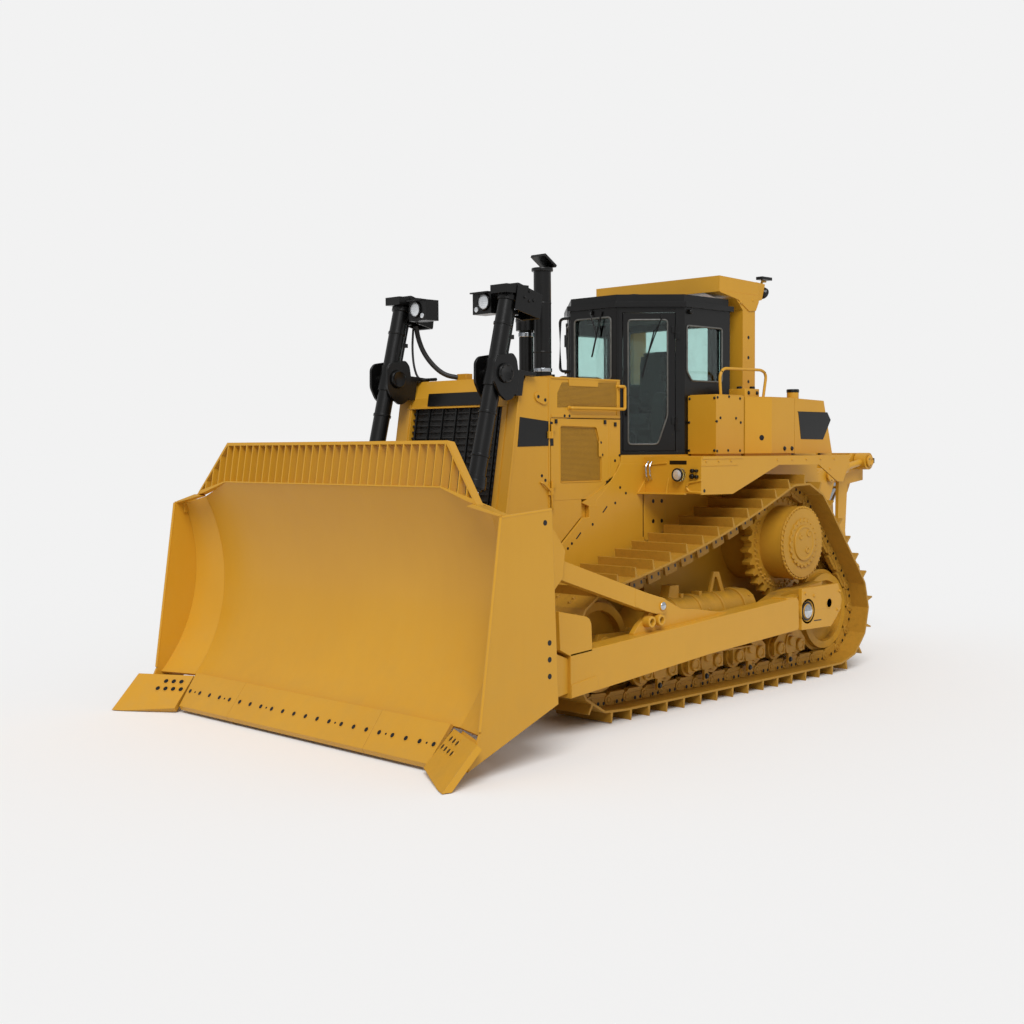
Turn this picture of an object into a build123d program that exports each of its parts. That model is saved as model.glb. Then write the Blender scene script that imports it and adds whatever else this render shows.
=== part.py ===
from build123d import *
import os
from math import asin, atan2, cos, degrees, hypot, pi, radians, sin, sqrt

# Track-type tractor of the elevated-sprocket kind, with a semi-universal blade in front and a
# single-shank ripper behind. It faces -Y, its left side is +X, Z is up, lengths are millimetres.
# Lengthwise places are stations, counted from the rear-most grouser on the ground. The finished
# model is shifted so that its origin is on the ground under the middle of its box.

# Fits
SEAT = 0.3
RUNNING = 5

# Running gear
TRACK_GAUGE = 2250
SHOE_WIDTH = 610
GROUSER_HEIGHT = 84
SHOE_PLATE = 20
SHOE_COUNT = 43
PITCH_ABOVE_PLATE = 67
RAIL_BELOW_PITCH = 62
LINK_ROW_OUTER = 112
LINK_ROW_INNER = 62
IDLER_PITCH_RADIUS = 455
IDLER_HUB_RADIUS = 110
IDLER_DISH = 70
IDLER_FLANGE = 38
SPROCKET_PITCH_RADIUS = 516
SPROCKET_TEETH = 27
SPROCKET_WIDTH = 92
SPROCKET_STATION = -837
SPROCKET_HEIGHT = 1335
FINAL_DRIVE_RADIUS = 352
FINAL_DRIVE_COLLAR = 380
FINAL_DRIVE_FACE = 1400
HUB_FACE = 1446
REAR_IDLER_STATION = -135
GROUND_LENGTH = 3470
TOP_RUN_SAG = 82
ROLLER_COUNT = 8
ROLLER_RADIUS = 118
ROLLER_SHAFT_RADIUS = 92
WHEEL_HUB_HALF = 145
END_ROLLER_OFFSET = 560
BOGIE_PLATE = 30
FRAME_BEAM_DEPTH = 190
FRAME_ABOVE_ROLLERS = 62
RECOIL_HOUSING_RADIUS = 165
FORK_OVERLAP = 640

# Blade, its arms and its cylinders
TRUNNION_STATION = -1078
TRUNNION_HEIGHT = 716
TRUNNION_BALL = 92
TRUNNION_NECK = 55
ARM_OUTER = 1640
ARM_INNER = 1462
BOARD_LOW = (-5600, 300)
BOARD_MIDDLE = (-5243, 1226)
BOARD_TOP = (-5475, 1979)
BOARD_WALL = 24
BOARD_TOP_HALF = 1373
JOINT_LOW_X = 1691
JOINT_HIGH_X = 1796
JOINT_HIGH_Z = 1849
WING_SWEEP = 0.344
WING_END_Z = 1784
END_PLATE_INNER = 2050
END_PLATE_WALL = 22
LIP_LENGTH = 240
LIP_WALL = 30
LIP_HALF = 1598
EDGE_LENGTH = 345
EDGE_WALL = 35
EDGE_JOINT_X = 880
BIT_WALL = 50
BIT_CLEARANCE_Z = 6
GUARD_BAR_PITCH = 92
GUARD_BAR_WALL = 12
GUARD_BAR_DEPTH = 70
SPILL_GUARD_TOP = 2325
SPILL_GUARD_HALF = 1400
SPILL_GUARD_LEAN = 9
BOX_REAR = -5040
BOX_HALF = 1688
LIFT_X = 666
LIFT_TRUNNION_STATION = -4225
LIFT_TRUNNION_HEIGHT = 2870
LIFT_EYE_STATION = -4765
LIFT_EYE_HEIGHT = 700
LIFT_EYE_RADIUS = 85
LIFT_EYE_HALF = 50
LIFT_LUG_WALL = 40
BARREL_RADIUS = 72
BARREL_ABOVE = 713
BARREL_BELOW = 970
BARREL_PIN = 48
ROD_RADIUS = 42
ROD_TOP = 440
YOKE_WALL = 40
YOKE_HALF_GAP = 85

# Body
GUARD_HALF = 740
GUARD_LOW = 1420
GUARD_TOP = 2855
GUARD_REAR = -3640
GUARD_LEAN = 0.165
GRILLE_HALF = 568
GRILLE_LOW = 1500
GRILLE_HIGH = 2620
GRILLE_SET_BACK = 45
GRILLE_WALL = 20
GRILLE_SLATS = 20
HULL_HALF = 745
TOW_PIN_RADIUS = 32
TOW_STATION = -4245
TOW_LOW = 720
TOW_HIGH = 880
CASE_REAR = 520
CASE_BOTTOM = 600
HOOD_TOP = 2862
HOOD_WALL = 40
HOOD_BOX_LOW = 2515
HOOD_BOX_REAR = -2726
DOOR_REAR = -2720
DECK_TOP = 2172
DECK_WALL = 20
FENDER_OUTER = 1390
FENDER_FRONT = -2396
FENDER_REAR = 60
SKIRT_WALL = 16
CAB_FLOOR = 2190
CAB_FLOOR_WALL = 30
CAB_WALL_TOP = 3570
CAB_ROOF_TOP = 3690
CAB_ROOF_BRIM = 28
CAB_FRONT = -2250
CAB_REAR = -1078
CAB_FRONT_HALF = 290
CAB_HALF = 745
CAB_WALL = 50
GLASS_WALL = 6
CANOPY_HALF = 783
CANOPY_TOP = 3902
CANOPY_FRONT = -1300
CANOPY_REAR = -650
CANOPY_LOW = 3750
POST_FRONT = -917
POST_REAR = -709
POST_INNER = 600
BOX_LIFT = 22
TANK_FRONT = -604
TANK_HALF = 1180
STACK_X = 100
STACK_STATION = -3050
CLEANER_X = -105

# Ripper
RIPPER_ARM_X = 520
RIPPER_HALF = 440
RIPPER_PIN = 45
RIPPER_UPPER_STATION = 1807
RIPPER_UPPER_HEIGHT = 2085
RIPPER_LOWER_STATION = 1520
RIPPER_LOWER_HEIGHT = 880
RIPPER_LINK_REACH = 900
RIPPER_LINK_RISE = 151
RIPPER_EYE_HALF = 69.7
RIPPER_LIFT_X = 285
RIPPER_LIFT_ROOT = (610, 680)
RIPPER_LIFT_EYE = (1640, 1790)
REAR_REACH = 1934

TRACK_X = TRACK_GAUGE / 2
PITCH_HEIGHT = GROUSER_HEIGHT + PITCH_ABOVE_PLATE
IDLER_HEIGHT = PITCH_HEIGHT + IDLER_PITCH_RADIUS
FRONT_IDLER_STATION = REAR_IDLER_STATION - GROUND_LENGTH
RAIL_TOP = PITCH_HEIGHT + RAIL_BELOW_PITCH
ROLLER_HEIGHT = RAIL_TOP + ROLLER_RADIUS + SEAT
FRAME_LOW = ROLLER_HEIGHT + ROLLER_RADIUS + FRAME_ABOVE_ROLLERS
CAB_REAR_SIDE = CAB_FRONT + CAB_HALF - CAB_FRONT_HALF

# Lower lip of the blade in the (station, height) plane, and the end bit's plane
LIP_DOWN = (-0.6055, -0.7958)
LIP_FORWARD = (-0.7958, 0.6055)
BIT_PLANE = Plane(origin=(1663.9, -5632.1, 292.4), x_dir=(0.8927, -0.4506, -0.0073), z_dir=(-0.3185, -0.6423, 0.6972))
BIT_OUTLINE = [(0, 0), (554, 0), (660, -404), (55, -343)]

# Left door face of the cab, with the leaf's place along it and its heights
DOOR_PLANE = Plane(origin=(CAB_FRONT_HALF, CAB_FRONT, 0), x_dir=(0.70711, 0.70711, 0), z_dir=(0.70711, -0.70711, 0))
DOOR_START = 60
DOOR_END = 560
DOOR_LOW = 2215
DOOR_HIGH = 3520
LEAF_GAP = 6
LEAF_WALL = 44

# Knuckles of the door hinges: their axis stands off the door's face
HINGE_RADIUS = 12
HINGE_LENGTH = 60
HINGE_STAND_OFF = 20
HINGE_STRAP = 40
CAB_HINGE_HEIGHTS = (2480, 3330)
ENGINE_HINGE_HEIGHTS = (1920, 2400)
ENGINE_HINGE_STATION = GUARD_REAR + 5

LOW = Align.MIN
MID = Align.CENTER
NODES = {}


def side_plate(points, x_from, x_to):
    """Plate with an outline of (station, height) points, between two values of x."""
    face = Plane.YZ * Polygon(*points, align=None)
    return Pos(x_from, 0, 0) * extrude(face, x_to - x_from, dir=(1, 0, 0))


def slab(points, z_from, z_to):
    """Flat piece with an outline of (x, station) points, between two heights."""
    return Pos(0, 0, z_from) * extrude(Polygon(*points, align=None), z_to - z_from, dir=(0, 0, 1))


def cross_plate(points, y_from, y_to):
    """Plate with an outline of (x, height) points, between two stations."""
    face = Plane.XZ * Polygon(*points, align=None)
    return Pos(0, y_from, 0) * extrude(face, y_to - y_from, dir=(0, 1, 0))


def block(x_from, x_to, y_from, y_to, z_from, z_to):
    """Box between three pairs of values."""
    return Pos(x_from, y_from, z_from) * Box(x_to - x_from, y_to - y_from, z_to - z_from, align=(LOW, LOW, LOW))


def drum(x_from, x_to, y, z, radius):
    """Round bar along X."""
    return Pos(x_from, y, z) * Rot(0, 90, 0) * Cylinder(radius, x_to - x_from, align=(MID, MID, LOW))


def upright(x, y, z_from, z_to, radius):
    """Round bar along Z."""
    return Pos(x, y, z_from) * Cylinder(radius, z_to - z_from, align=(MID, MID, LOW))


def bar(start, end, radius):
    """Round bar between two points."""
    axis = Vector(*end) - Vector(*start)
    return Plane(origin=start, z_dir=axis) * Cylinder(radius, axis.length, align=(MID, MID, LOW))


def pipe(points, radius, bend):
    """Round tube along a path of straight runs with rounded corners."""
    path = FilletPolyline(*points, radius=bend)
    return sweep(Plane(origin=path @ 0, z_dir=path % 0) * Circle(radius), path)


def other_side(shape):
    """The same shape on the machine's right side."""
    return mirror(shape, about=Plane.YZ)


def group(shapes):
    """Several separate solids as one shape."""
    solids = []
    for shape in shapes:
        solids.extend(shape.solids())
    return Compound(solids)


def keep(name, *shapes):
    """Store a sub-part under the name of its node."""
    NODES[name] = shapes[0] if len(shapes) == 1 else group(shapes)


def keep_both(name, *shapes):
    """Store a sub-part that has the same solids on both sides."""
    keep(name, *shapes, *[other_side(shape) for shape in shapes])


def keep_pair(name, *shapes):
    """Store a sub-part and its twin on the other side as two nodes."""
    keep(name + "_left", *shapes)
    keep(name + "_right", *[other_side(shape) for shape in shapes])


# Track chain

def tangent_turn(from_centre, from_radius, to_centre, to_radius):
    """Direction of the outward normal where a belt leaves one wheel for the next, in radians."""
    across = to_centre[0] - from_centre[0]
    rise = to_centre[1] - from_centre[1]
    return atan2(rise, across) - pi / 2 + asin((from_radius - to_radius) / hypot(across, rise))


def on_wheel(centre, radius, angle):
    """Point on a wheel, at an angle counted from +Y towards +Z."""
    return (centre[0] + radius * cos(angle), centre[1] + radius * sin(angle))


def chain_runs():
    """Pitch line as runs: each is its length and a function from 0..1 to a (station, height) point."""
    wheels = [((REAR_IDLER_STATION, IDLER_HEIGHT), IDLER_PITCH_RADIUS),
              ((SPROCKET_STATION, SPROCKET_HEIGHT), SPROCKET_PITCH_RADIUS),
              ((FRONT_IDLER_STATION, IDLER_HEIGHT), IDLER_PITCH_RADIUS)]
    sags = (0, TOP_RUN_SAG, 0)
    normals = [tangent_turn(*wheels[i], *wheels[(i + 1) % 3]) for i in range(3)]
    runs = []
    for i, (centre, radius) in enumerate(wheels):
        arrive, leave = normals[i - 1], normals[i]
        while leave < arrive:
            leave += 2 * pi

        def arc(t, centre=centre, radius=radius, arrive=arrive, leave=leave):
            return on_wheel(centre, radius, arrive + (leave - arrive) * t)

        start = on_wheel(centre, radius, leave)
        end = on_wheel(*wheels[(i + 1) % 3], leave)
        span = hypot(end[0] - start[0], end[1] - start[1])

        def reach(t, start=start, end=end, leave=leave, sag=sags[i]):
            drop = 4 * sag * t * (1 - t)
            return (start[0] + (end[0] - start[0]) * t - drop * cos(leave),
                    start[1] + (end[1] - start[1]) * t - drop * sin(leave))

        runs.append((radius * (leave - arrive), arc))
        runs.append((span * (1 + 8 / 3 * (sags[i] / span) ** 2), reach))
    return runs


def link_length():
    """Pitch of the chain: the pitch line shared out evenly among the shoes."""
    return sum(length for length, _ in chain_runs()) / SHOE_COUNT


def chain_pins():
    """Pin centres of one chain, evenly spaced along the pitch line."""
    runs = chain_runs()
    pins = []
    for k in range(SHOE_COUNT):
        distance = link_length() * k
        for length, point in runs:
            if distance <= length:
                pins.append(point(distance / length))
                break
            distance -= length
    return pins


def chain_outline(pins, corner, extra):
    """Closed outline: a corner at each pin's bisector, and extra (share of link, offset) points."""
    outline = []
    for i, pin in enumerate(pins):
        before, after = pins[i - 1], pins[(i + 1) % len(pins)]
        back = atan2(pin[1] - before[1], pin[0] - before[0])
        ahead = atan2(after[1] - pin[1], after[0] - pin[0])
        turn = (ahead - back + pi) % (2 * pi) - pi
        out = back + turn / 2 - pi / 2
        outline.append((pin[0] + corner * cos(out), pin[1] + corner * sin(out)))
        for share, offset in extra:
            y = pin[0] + (after[0] - pin[0]) * share + offset * sin(ahead)
            z = pin[1] + (after[1] - pin[1]) * share - offset * cos(ahead)
            outline.append((y, z))
    return outline


def build_track():
    """One fixed loop: shoe plates with a single grouser each, on two rows of links."""
    pins = chain_pins()
    plate_out = PITCH_ABOVE_PLATE
    plate_in = PITCH_ABOVE_PLATE - SHOE_PLATE
    tip = PITCH_ABOVE_PLATE + GROUSER_HEIGHT
    # share of the link's length, offset from the pitch line
    grouser = ((0.24, plate_out), (0.265, tip), (0.325, tip), (0.36, plate_out))
    rail = ((0.14, -RAIL_BELOW_PITCH), (0.86, -RAIL_BELOW_PITCH))
    outer = chain_outline(pins, plate_out, grouser)
    inner = chain_outline(pins, plate_in, ())
    under = chain_outline(pins, -RAIL_BELOW_PITCH / 2, rail)
    half = SHOE_WIDTH / 2
    track = side_plate(outer, TRACK_X - half, TRACK_X + half) - side_plate(inner, TRACK_X - half, TRACK_X + half)
    for low, high in ((-LINK_ROW_OUTER, -LINK_ROW_INNER), (LINK_ROW_INNER, LINK_ROW_OUTER)):
        track += side_plate(inner, TRACK_X + low, TRACK_X + high) - side_plate(under, TRACK_X + low, TRACK_X + high)
    keep_pair("track", track)


# Wheels inside the tracks

def build_final_drives():
    """Sprocket with its teeth, the final drive's drum and its bolted hub, on both sides."""
    place = (SPROCKET_STATION, SPROCKET_HEIGHT)
    root = SPROCKET_PITCH_RADIUS - 38
    tip = SPROCKET_PITCH_RADIUS + 18
    half_pitch = pi / SPROCKET_TEETH
    outline = []
    for k in range(SPROCKET_TEETH):
        middle = 2 * half_pitch * k
        for share, radius in ((-0.62, root), (-0.22, tip), (0.22, tip), (0.62, root)):
            outline.append(on_wheel(place, radius, middle + share * half_pitch))
    inner = TRACK_X - SPROCKET_WIDTH / 2
    outer = TRACK_X + SPROCKET_WIDTH / 2
    wheel = side_plate(outline, inner, outer)
    wheel += drum(HULL_HALF + SEAT, inner, *place, FINAL_DRIVE_COLLAR)
    wheel += drum(outer, FINAL_DRIVE_FACE, *place, FINAL_DRIVE_RADIUS)
    wheel += drum(FINAL_DRIVE_FACE, FINAL_DRIVE_FACE + 28, *place, FINAL_DRIVE_RADIUS - 22)
    wheel += drum(FINAL_DRIVE_FACE + 28, HUB_FACE, *place, 170)
    keep_both("final_drives", wheel)


def build_idlers():
    """Front and rear idlers, dished on both faces, with a guiding rim between the link rows."""
    tread = sqrt(IDLER_PITCH_RADIUS ** 2 - (link_length() / 2) ** 2) - RAIL_BELOW_PITCH - SEAT
    idlers = []
    for station in (REAR_IDLER_STATION, FRONT_IDLER_STATION):
        wheel = drum(TRACK_X - LINK_ROW_OUTER, TRACK_X + LINK_ROW_OUTER, station, IDLER_HEIGHT, tread)
        rim = LINK_ROW_INNER - 6
        wheel += drum(TRACK_X - rim, TRACK_X + rim, station, IDLER_HEIGHT, tread + IDLER_FLANGE)
        for x_from, x_to in ((TRACK_X - 115, TRACK_X - 45), (TRACK_X + 45, TRACK_X + 115)):
            wheel -= drum(x_from, x_to, station, IDLER_HEIGHT, tread - IDLER_DISH)
        wheel += drum(TRACK_X - WHEEL_HUB_HALF, TRACK_X + WHEEL_HUB_HALF, station, IDLER_HEIGHT, IDLER_HUB_RADIUS)
        idlers.append(wheel)
    keep_both("idlers", *idlers)


def roller_stations():
    """Stations of the lower rollers, from the front."""
    first = FRONT_IDLER_STATION + END_ROLLER_OFFSET
    step = (GROUND_LENGTH - 2 * END_ROLLER_OFFSET) / (ROLLER_COUNT - 1)
    return [first + step * k for k in range(ROLLER_COUNT)]


def build_rollers():
    """Lower rollers with double treads, each on a shaft that ends in its bogie."""
    rollers = []
    for station in roller_stations():
        wheel = drum(TRACK_X - WHEEL_HUB_HALF, TRACK_X + WHEEL_HUB_HALF, station, ROLLER_HEIGHT, ROLLER_SHAFT_RADIUS)
        for x_from, x_to in ((-118, -62), (62, 118)):
            wheel += drum(TRACK_X + x_from, TRACK_X + x_to, station, ROLLER_HEIGHT, ROLLER_RADIUS)
        rollers.append(wheel)
    keep_both("rollers", *rollers)


def build_track_frames():
    """Roller frame: a box beam, its round recoil housing, the idlers' forks and the rollers' bogies."""
    inner_face = WHEEL_HUB_HALF + SEAT
    outer_face = inner_face + BOGIE_PLATE
    top = FRAME_LOW + FRAME_BEAM_DEPTH
    front, rear = FRONT_IDLER_STATION + 480, REAR_IDLER_STATION - 480
    frame = block(TRACK_X - outer_face, TRACK_X + outer_face, front, rear, FRAME_LOW, top)
    housing = FRAME_LOW + 250
    frame += bar((TRACK_X, FRONT_IDLER_STATION + 600, housing), (TRACK_X, TRUNNION_STATION - 330, housing),
                 RECOIL_HOUSING_RADIUS)
    stations = roller_stations()
    reach = (stations[1] - stations[0]) / 2
    for x_from in (TRACK_X - outer_face, TRACK_X + inner_face):
        for station, toward in ((FRONT_IDLER_STATION, 1), (REAR_IDLER_STATION, -1)):
            fork = [(station + toward * FORK_OVERLAP, FRAME_LOW), (station + toward * FORK_OVERLAP, top),
                    (station - toward * 60, IDLER_HEIGHT + 120), (station - toward * 130, IDLER_HEIGHT),
                    (station - toward * 60, IDLER_HEIGHT - 120)]
            frame += side_plate(fork, x_from, x_from + BOGIE_PLATE)
        for k in range(0, ROLLER_COUNT, 2):
            middle = (stations[k] + stations[k + 1]) / 2
            bogie = [(middle - reach * 1.55, ROLLER_HEIGHT - 62), (middle + reach * 1.55, ROLLER_HEIGHT - 62),
                     (middle + reach * 1.55, ROLLER_HEIGHT + 60), (middle + reach * 0.6, FRAME_LOW + 20),
                     (middle - reach * 0.6, FRAME_LOW + 20), (middle - reach * 1.55, ROLLER_HEIGHT + 60)]
            frame += side_plate(bogie, x_from, x_from + BOGIE_PLATE)
    saddle = [(TRUNNION_STATION - 342, 560), (TRUNNION_STATION + 437, 537), (TRUNNION_STATION + 570, 940),
              (TRUNNION_STATION - 97, 882), (TRUNNION_STATION - 342, 800)]
    frame += side_plate(saddle, TRACK_X + outer_face - 5, ARM_INNER - 24)
    ball_x = ARM_OUTER - 60
    frame += drum(ARM_INNER - 24, ball_x, TRUNNION_STATION, TRUNNION_HEIGHT, TRUNNION_NECK)
    frame += Pos(ball_x, TRUNNION_STATION, TRUNNION_HEIGHT) * Sphere(TRUNNION_BALL)
    keep_pair("track_frame", frame)


# Hull and engine

def build_hull():
    """Main frame: the rear case with its pivot shafts, two side rails, belly plate and nose."""
    side = [(-2400, 640), (-2400, 1500), (-3240, 1780), (-2800, 1990), (DOOR_REAR, 2140), (DOOR_REAR, CAB_FLOOR - SEAT),
            (CASE_REAR - 60, CAB_FLOOR - SEAT), (CASE_REAR, 1900), (CASE_REAR, 760), (300, 620), (-400, CASE_BOTTOM)]
    hull = side_plate(side, -HULL_HALF, HULL_HALF)
    hull -= block(-HULL_HALF + 45, HULL_HALF - 45, -3400, -2400, 1400, CAB_FLOOR)
    rail = [(-2400, 640), (-2400, 1500), (-2600, 1500), (-3500, 1470), (GUARD_REAR, GUARD_LOW - SEAT),
            (-4190, GUARD_LOW - SEAT), (-4200, 1100), (-4150, 720), (-3900, 640)]
    hull += side_plate(rail, -620, -520) + side_plate(rail, 520, 620)
    hull += block(-520, 520, -4050, -2400, 640, 700)
    hull += block(-520, 520, -4180, -4120, 690, 1100)
    tow = block(-95, 95, TOW_STATION - 60, -4170, TOW_LOW, TOW_HIGH)
    tow += upright(0, TOW_STATION - 60, TOW_LOW, TOW_HIGH, 95)
    hull += tow - upright(0, TOW_STATION - 60, TOW_LOW - 1, TOW_HIGH + 1, TOW_PIN_RADIUS)
    pivot_reach = TRACK_X - WHEEL_HUB_HALF - BOGIE_PLATE - 2 * SEAT
    hull += drum(-pivot_reach, pivot_reach, -1300, FRAME_LOW + 90, 85)
    keep("main_frame", hull)
    engine = block(-400, 400, -3540, -2480, 860, 2300)
    engine += block(-520 + SEAT, 520 - SEAT, -3450, -3330, 1000, 1120)
    engine += block(-520 + SEAT, 520 - SEAT, -2700, -2580, 1000, 1120)
    keep("engine_block", engine)
    half = TRACK_X - WHEEL_HUB_HALF - BOGIE_PLATE - 2 * SEAT
    beam = cross_plate([(-half, 560), (0, 500), (half, 560), (half, 640), (320, 640 - SEAT), (-320, 640 - SEAT),
                        (-half, 640)], -3060, -2920)
    keep("equalizer_bar", beam)


def guard_front(height):
    """Station of the radiator guard's front at a height, because it leans back."""
    return -4030 - (2650 - height) * GUARD_LEAN


def along_guard(low, high, depth_from, depth_to):
    """Outline of a slice that follows the guard's leaning front, between two depths behind it."""
    return [(guard_front(low) + depth_from, low), (guard_front(high) + depth_from, high),
            (guard_front(high) + depth_to, high), (guard_front(low) + depth_to, low)]


def build_radiator_guard():
    """Leaning guard round the radiator, with the slatted grille in its recess."""
    outline = [(guard_front(GUARD_LOW), GUARD_LOW), (guard_front(2700), 2700), (guard_front(2700) + 90, GUARD_TOP),
               (GUARD_REAR, GUARD_TOP), (GUARD_REAR, GUARD_LOW)]
    guard = side_plate(outline, -GUARD_HALF, GUARD_HALF)
    guard -= side_plate(along_guard(GRILLE_LOW, GRILLE_HIGH, -60, GRILLE_SET_BACK + GRILLE_WALL + SEAT),
                        -GRILLE_HALF, GRILLE_HALF)
    hinges = engine_knuckles(ENGINE_HINGE_STATION - HINGE_STRAP, ENGINE_HINGE_STATION, -HINGE_LENGTH, -SEAT)
    keep("radiator_guard", guard + hinges + other_side(hinges))
    inset = 4
    grille = side_plate(along_guard(GRILLE_LOW + inset, GRILLE_HIGH - inset, GRILLE_SET_BACK, GRILLE_SET_BACK + GRILLE_WALL),
                        -GRILLE_HALF + inset, GRILLE_HALF - inset)
    step = (GRILLE_HIGH - GRILLE_LOW) / (GRILLE_SLATS + 1)
    for k in range(1, GRILLE_SLATS + 1):
        z = GRILLE_LOW + step * k
        grille += side_plate(along_guard(z - 6, z + 6, GRILLE_SET_BACK - 22, GRILLE_SET_BACK + 1),
                             -GRILLE_HALF + inset, GRILLE_HALF - inset)
    keep("grille", grille)


def build_hood():
    """Hood over the engine with its raised side boxes, the exhaust stack and the air precleaner."""
    front = GUARD_REAR + SEAT
    hood = block(-GUARD_HALF, GUARD_HALF, front, HOOD_BOX_REAR, HOOD_BOX_LOW, HOOD_TOP)
    hood -= block(-GUARD_HALF + HOOD_WALL, GUARD_HALF - HOOD_WALL, front - 1, HOOD_BOX_REAR + 1, HOOD_BOX_LOW - 1,
                  HOOD_TOP - HOOD_WALL)
    hood += slab([(-620, HOOD_BOX_REAR), (620, HOOD_BOX_REAR), (CAB_FRONT_HALF, CAB_FRONT - SEAT),
                  (-CAB_FRONT_HALF, CAB_FRONT - SEAT)], HOOD_TOP - HOOD_WALL, HOOD_TOP)
    keep("hood", hood)
    rail = pipe([(GUARD_HALF + SEAT, -3400, 2600), (775, -3400, 2600), (775, -2700, 2600), (775, -2700, 2800),
                 (775, HOOD_BOX_REAR - 40, 2800), (GUARD_HALF + SEAT, HOOD_BOX_REAR - 40, 2800)], 14, 18)
    keep_both("hood_rails", rail)
    stack = upright(STACK_X, STACK_STATION, HOOD_TOP + SEAT, 3880, 79) - upright(
        STACK_X, STACK_STATION, HOOD_TOP + 100, 3890, 72)
    stack += upright(STACK_X, STACK_STATION, HOOD_TOP + SEAT, HOOD_TOP + 60, 110)
    cap = cross_plate([(-88, -12), (88, -12), (88, 12), (-88, 12)], -88, 88)
    cap = Pos(STACK_X, STACK_STATION + 20, 3945) * Rot(-32, 0, 0) * cap
    stack += cap + block(STACK_X - 20, STACK_X + 20, STACK_STATION + 68, STACK_STATION + 90, 3800, 3930)
    keep("exhaust_stack", stack)
    cleaner = upright(CLEANER_X, STACK_STATION, HOOD_TOP + SEAT, 3330, 67)
    cleaner += upright(CLEANER_X, STACK_STATION, 3330, 3470, 95)
    keep("air_precleaner", cleaner)


def engine_knuckles(station_from, station_to, low, high):
    """Hinge knuckles of the left engine door with their straps, for one of its two halves."""
    parts = []
    for height in ENGINE_HINGE_HEIGHTS:
        knuckle = upright(GUARD_HALF + HINGE_STAND_OFF, ENGINE_HINGE_STATION, height + low, height + high, HINGE_RADIUS)
        knuckle += block(GUARD_HALF - 2, GUARD_HALF + HINGE_STAND_OFF, station_from, station_to, height + low, height + high)
        parts.append(knuckle)
    return parts[0] + parts[1]


def build_engine_doors():
    """Hinged side doors of the engine bay, with a perforated window let in."""
    front = GUARD_REAR + 10
    outline = [(front, 1813), (front, 2508), (DOOR_REAR - RUNNING, 2508), (DOOR_REAR - RUNNING, 2153),
               (-2805, 2012), (-3250, 1813)]
    door = side_plate(outline, GUARD_HALF - 40, GUARD_HALF)
    door -= side_plate([(-3513, 1966), (-3513, 2448), (-3049, 2438), (-2979, 2240), (-2979, 1966)],
                       GUARD_HALF - 12, GUARD_HALF + 1)
    door += engine_knuckles(ENGINE_HINGE_STATION, ENGINE_HINGE_STATION + HINGE_STRAP, 0, HINGE_LENGTH)
    keep_pair("engine_door", door)


# Cab

def cab_outline(inset):
    """Plan of the cab: a narrow front, two angled door faces and straight sides, drawn in by inset."""
    shift = inset * 0.41421
    front_half = CAB_FRONT_HALF - shift
    half = CAB_HALF - inset
    corner = CAB_REAR_SIDE + shift
    return [(front_half, CAB_FRONT + inset), (half, corner), (half, CAB_REAR - inset), (-half, CAB_REAR - inset),
            (-half, corner), (-front_half, CAB_FRONT + inset)]


def door_slab(points, depth_from, depth_to):
    """Piece on the left door face: points are (along the face, height), depth counts inwards."""
    face = DOOR_PLANE.offset(-depth_to) * Polygon(*points, align=None)
    return extrude(face, depth_to - depth_from, dir=(0.70711, -0.70711, 0))


def cab_knuckles(along_from, along_to, low, high):
    """Hinge knuckles of the left cab door with their straps, for one of its two halves."""
    x = CAB_FRONT_HALF + 0.70711 * (DOOR_END + HINGE_STAND_OFF)
    y = CAB_FRONT + 0.70711 * (DOOR_END - HINGE_STAND_OFF)
    parts = []
    for height in CAB_HINGE_HEIGHTS:
        strap = [(along_from, height + low), (along_to, height + low), (along_to, height + high), (along_from, height + high)]
        parts.append(upright(x, y, height + low, height + high, HINGE_RADIUS) + door_slab(strap, -HINGE_STAND_OFF, 2))
    return parts[0] + parts[1]


def grown(points, amount):
    """Rectangle given by two opposite corners, larger by an amount on each side, as four corners."""
    (a0, b0), (a1, b1) = points
    return [(a0 - amount, b0 - amount), (a1 + amount, b0 - amount), (a1 + amount, b1 + amount), (a0 - amount, b1 + amount)]


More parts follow.
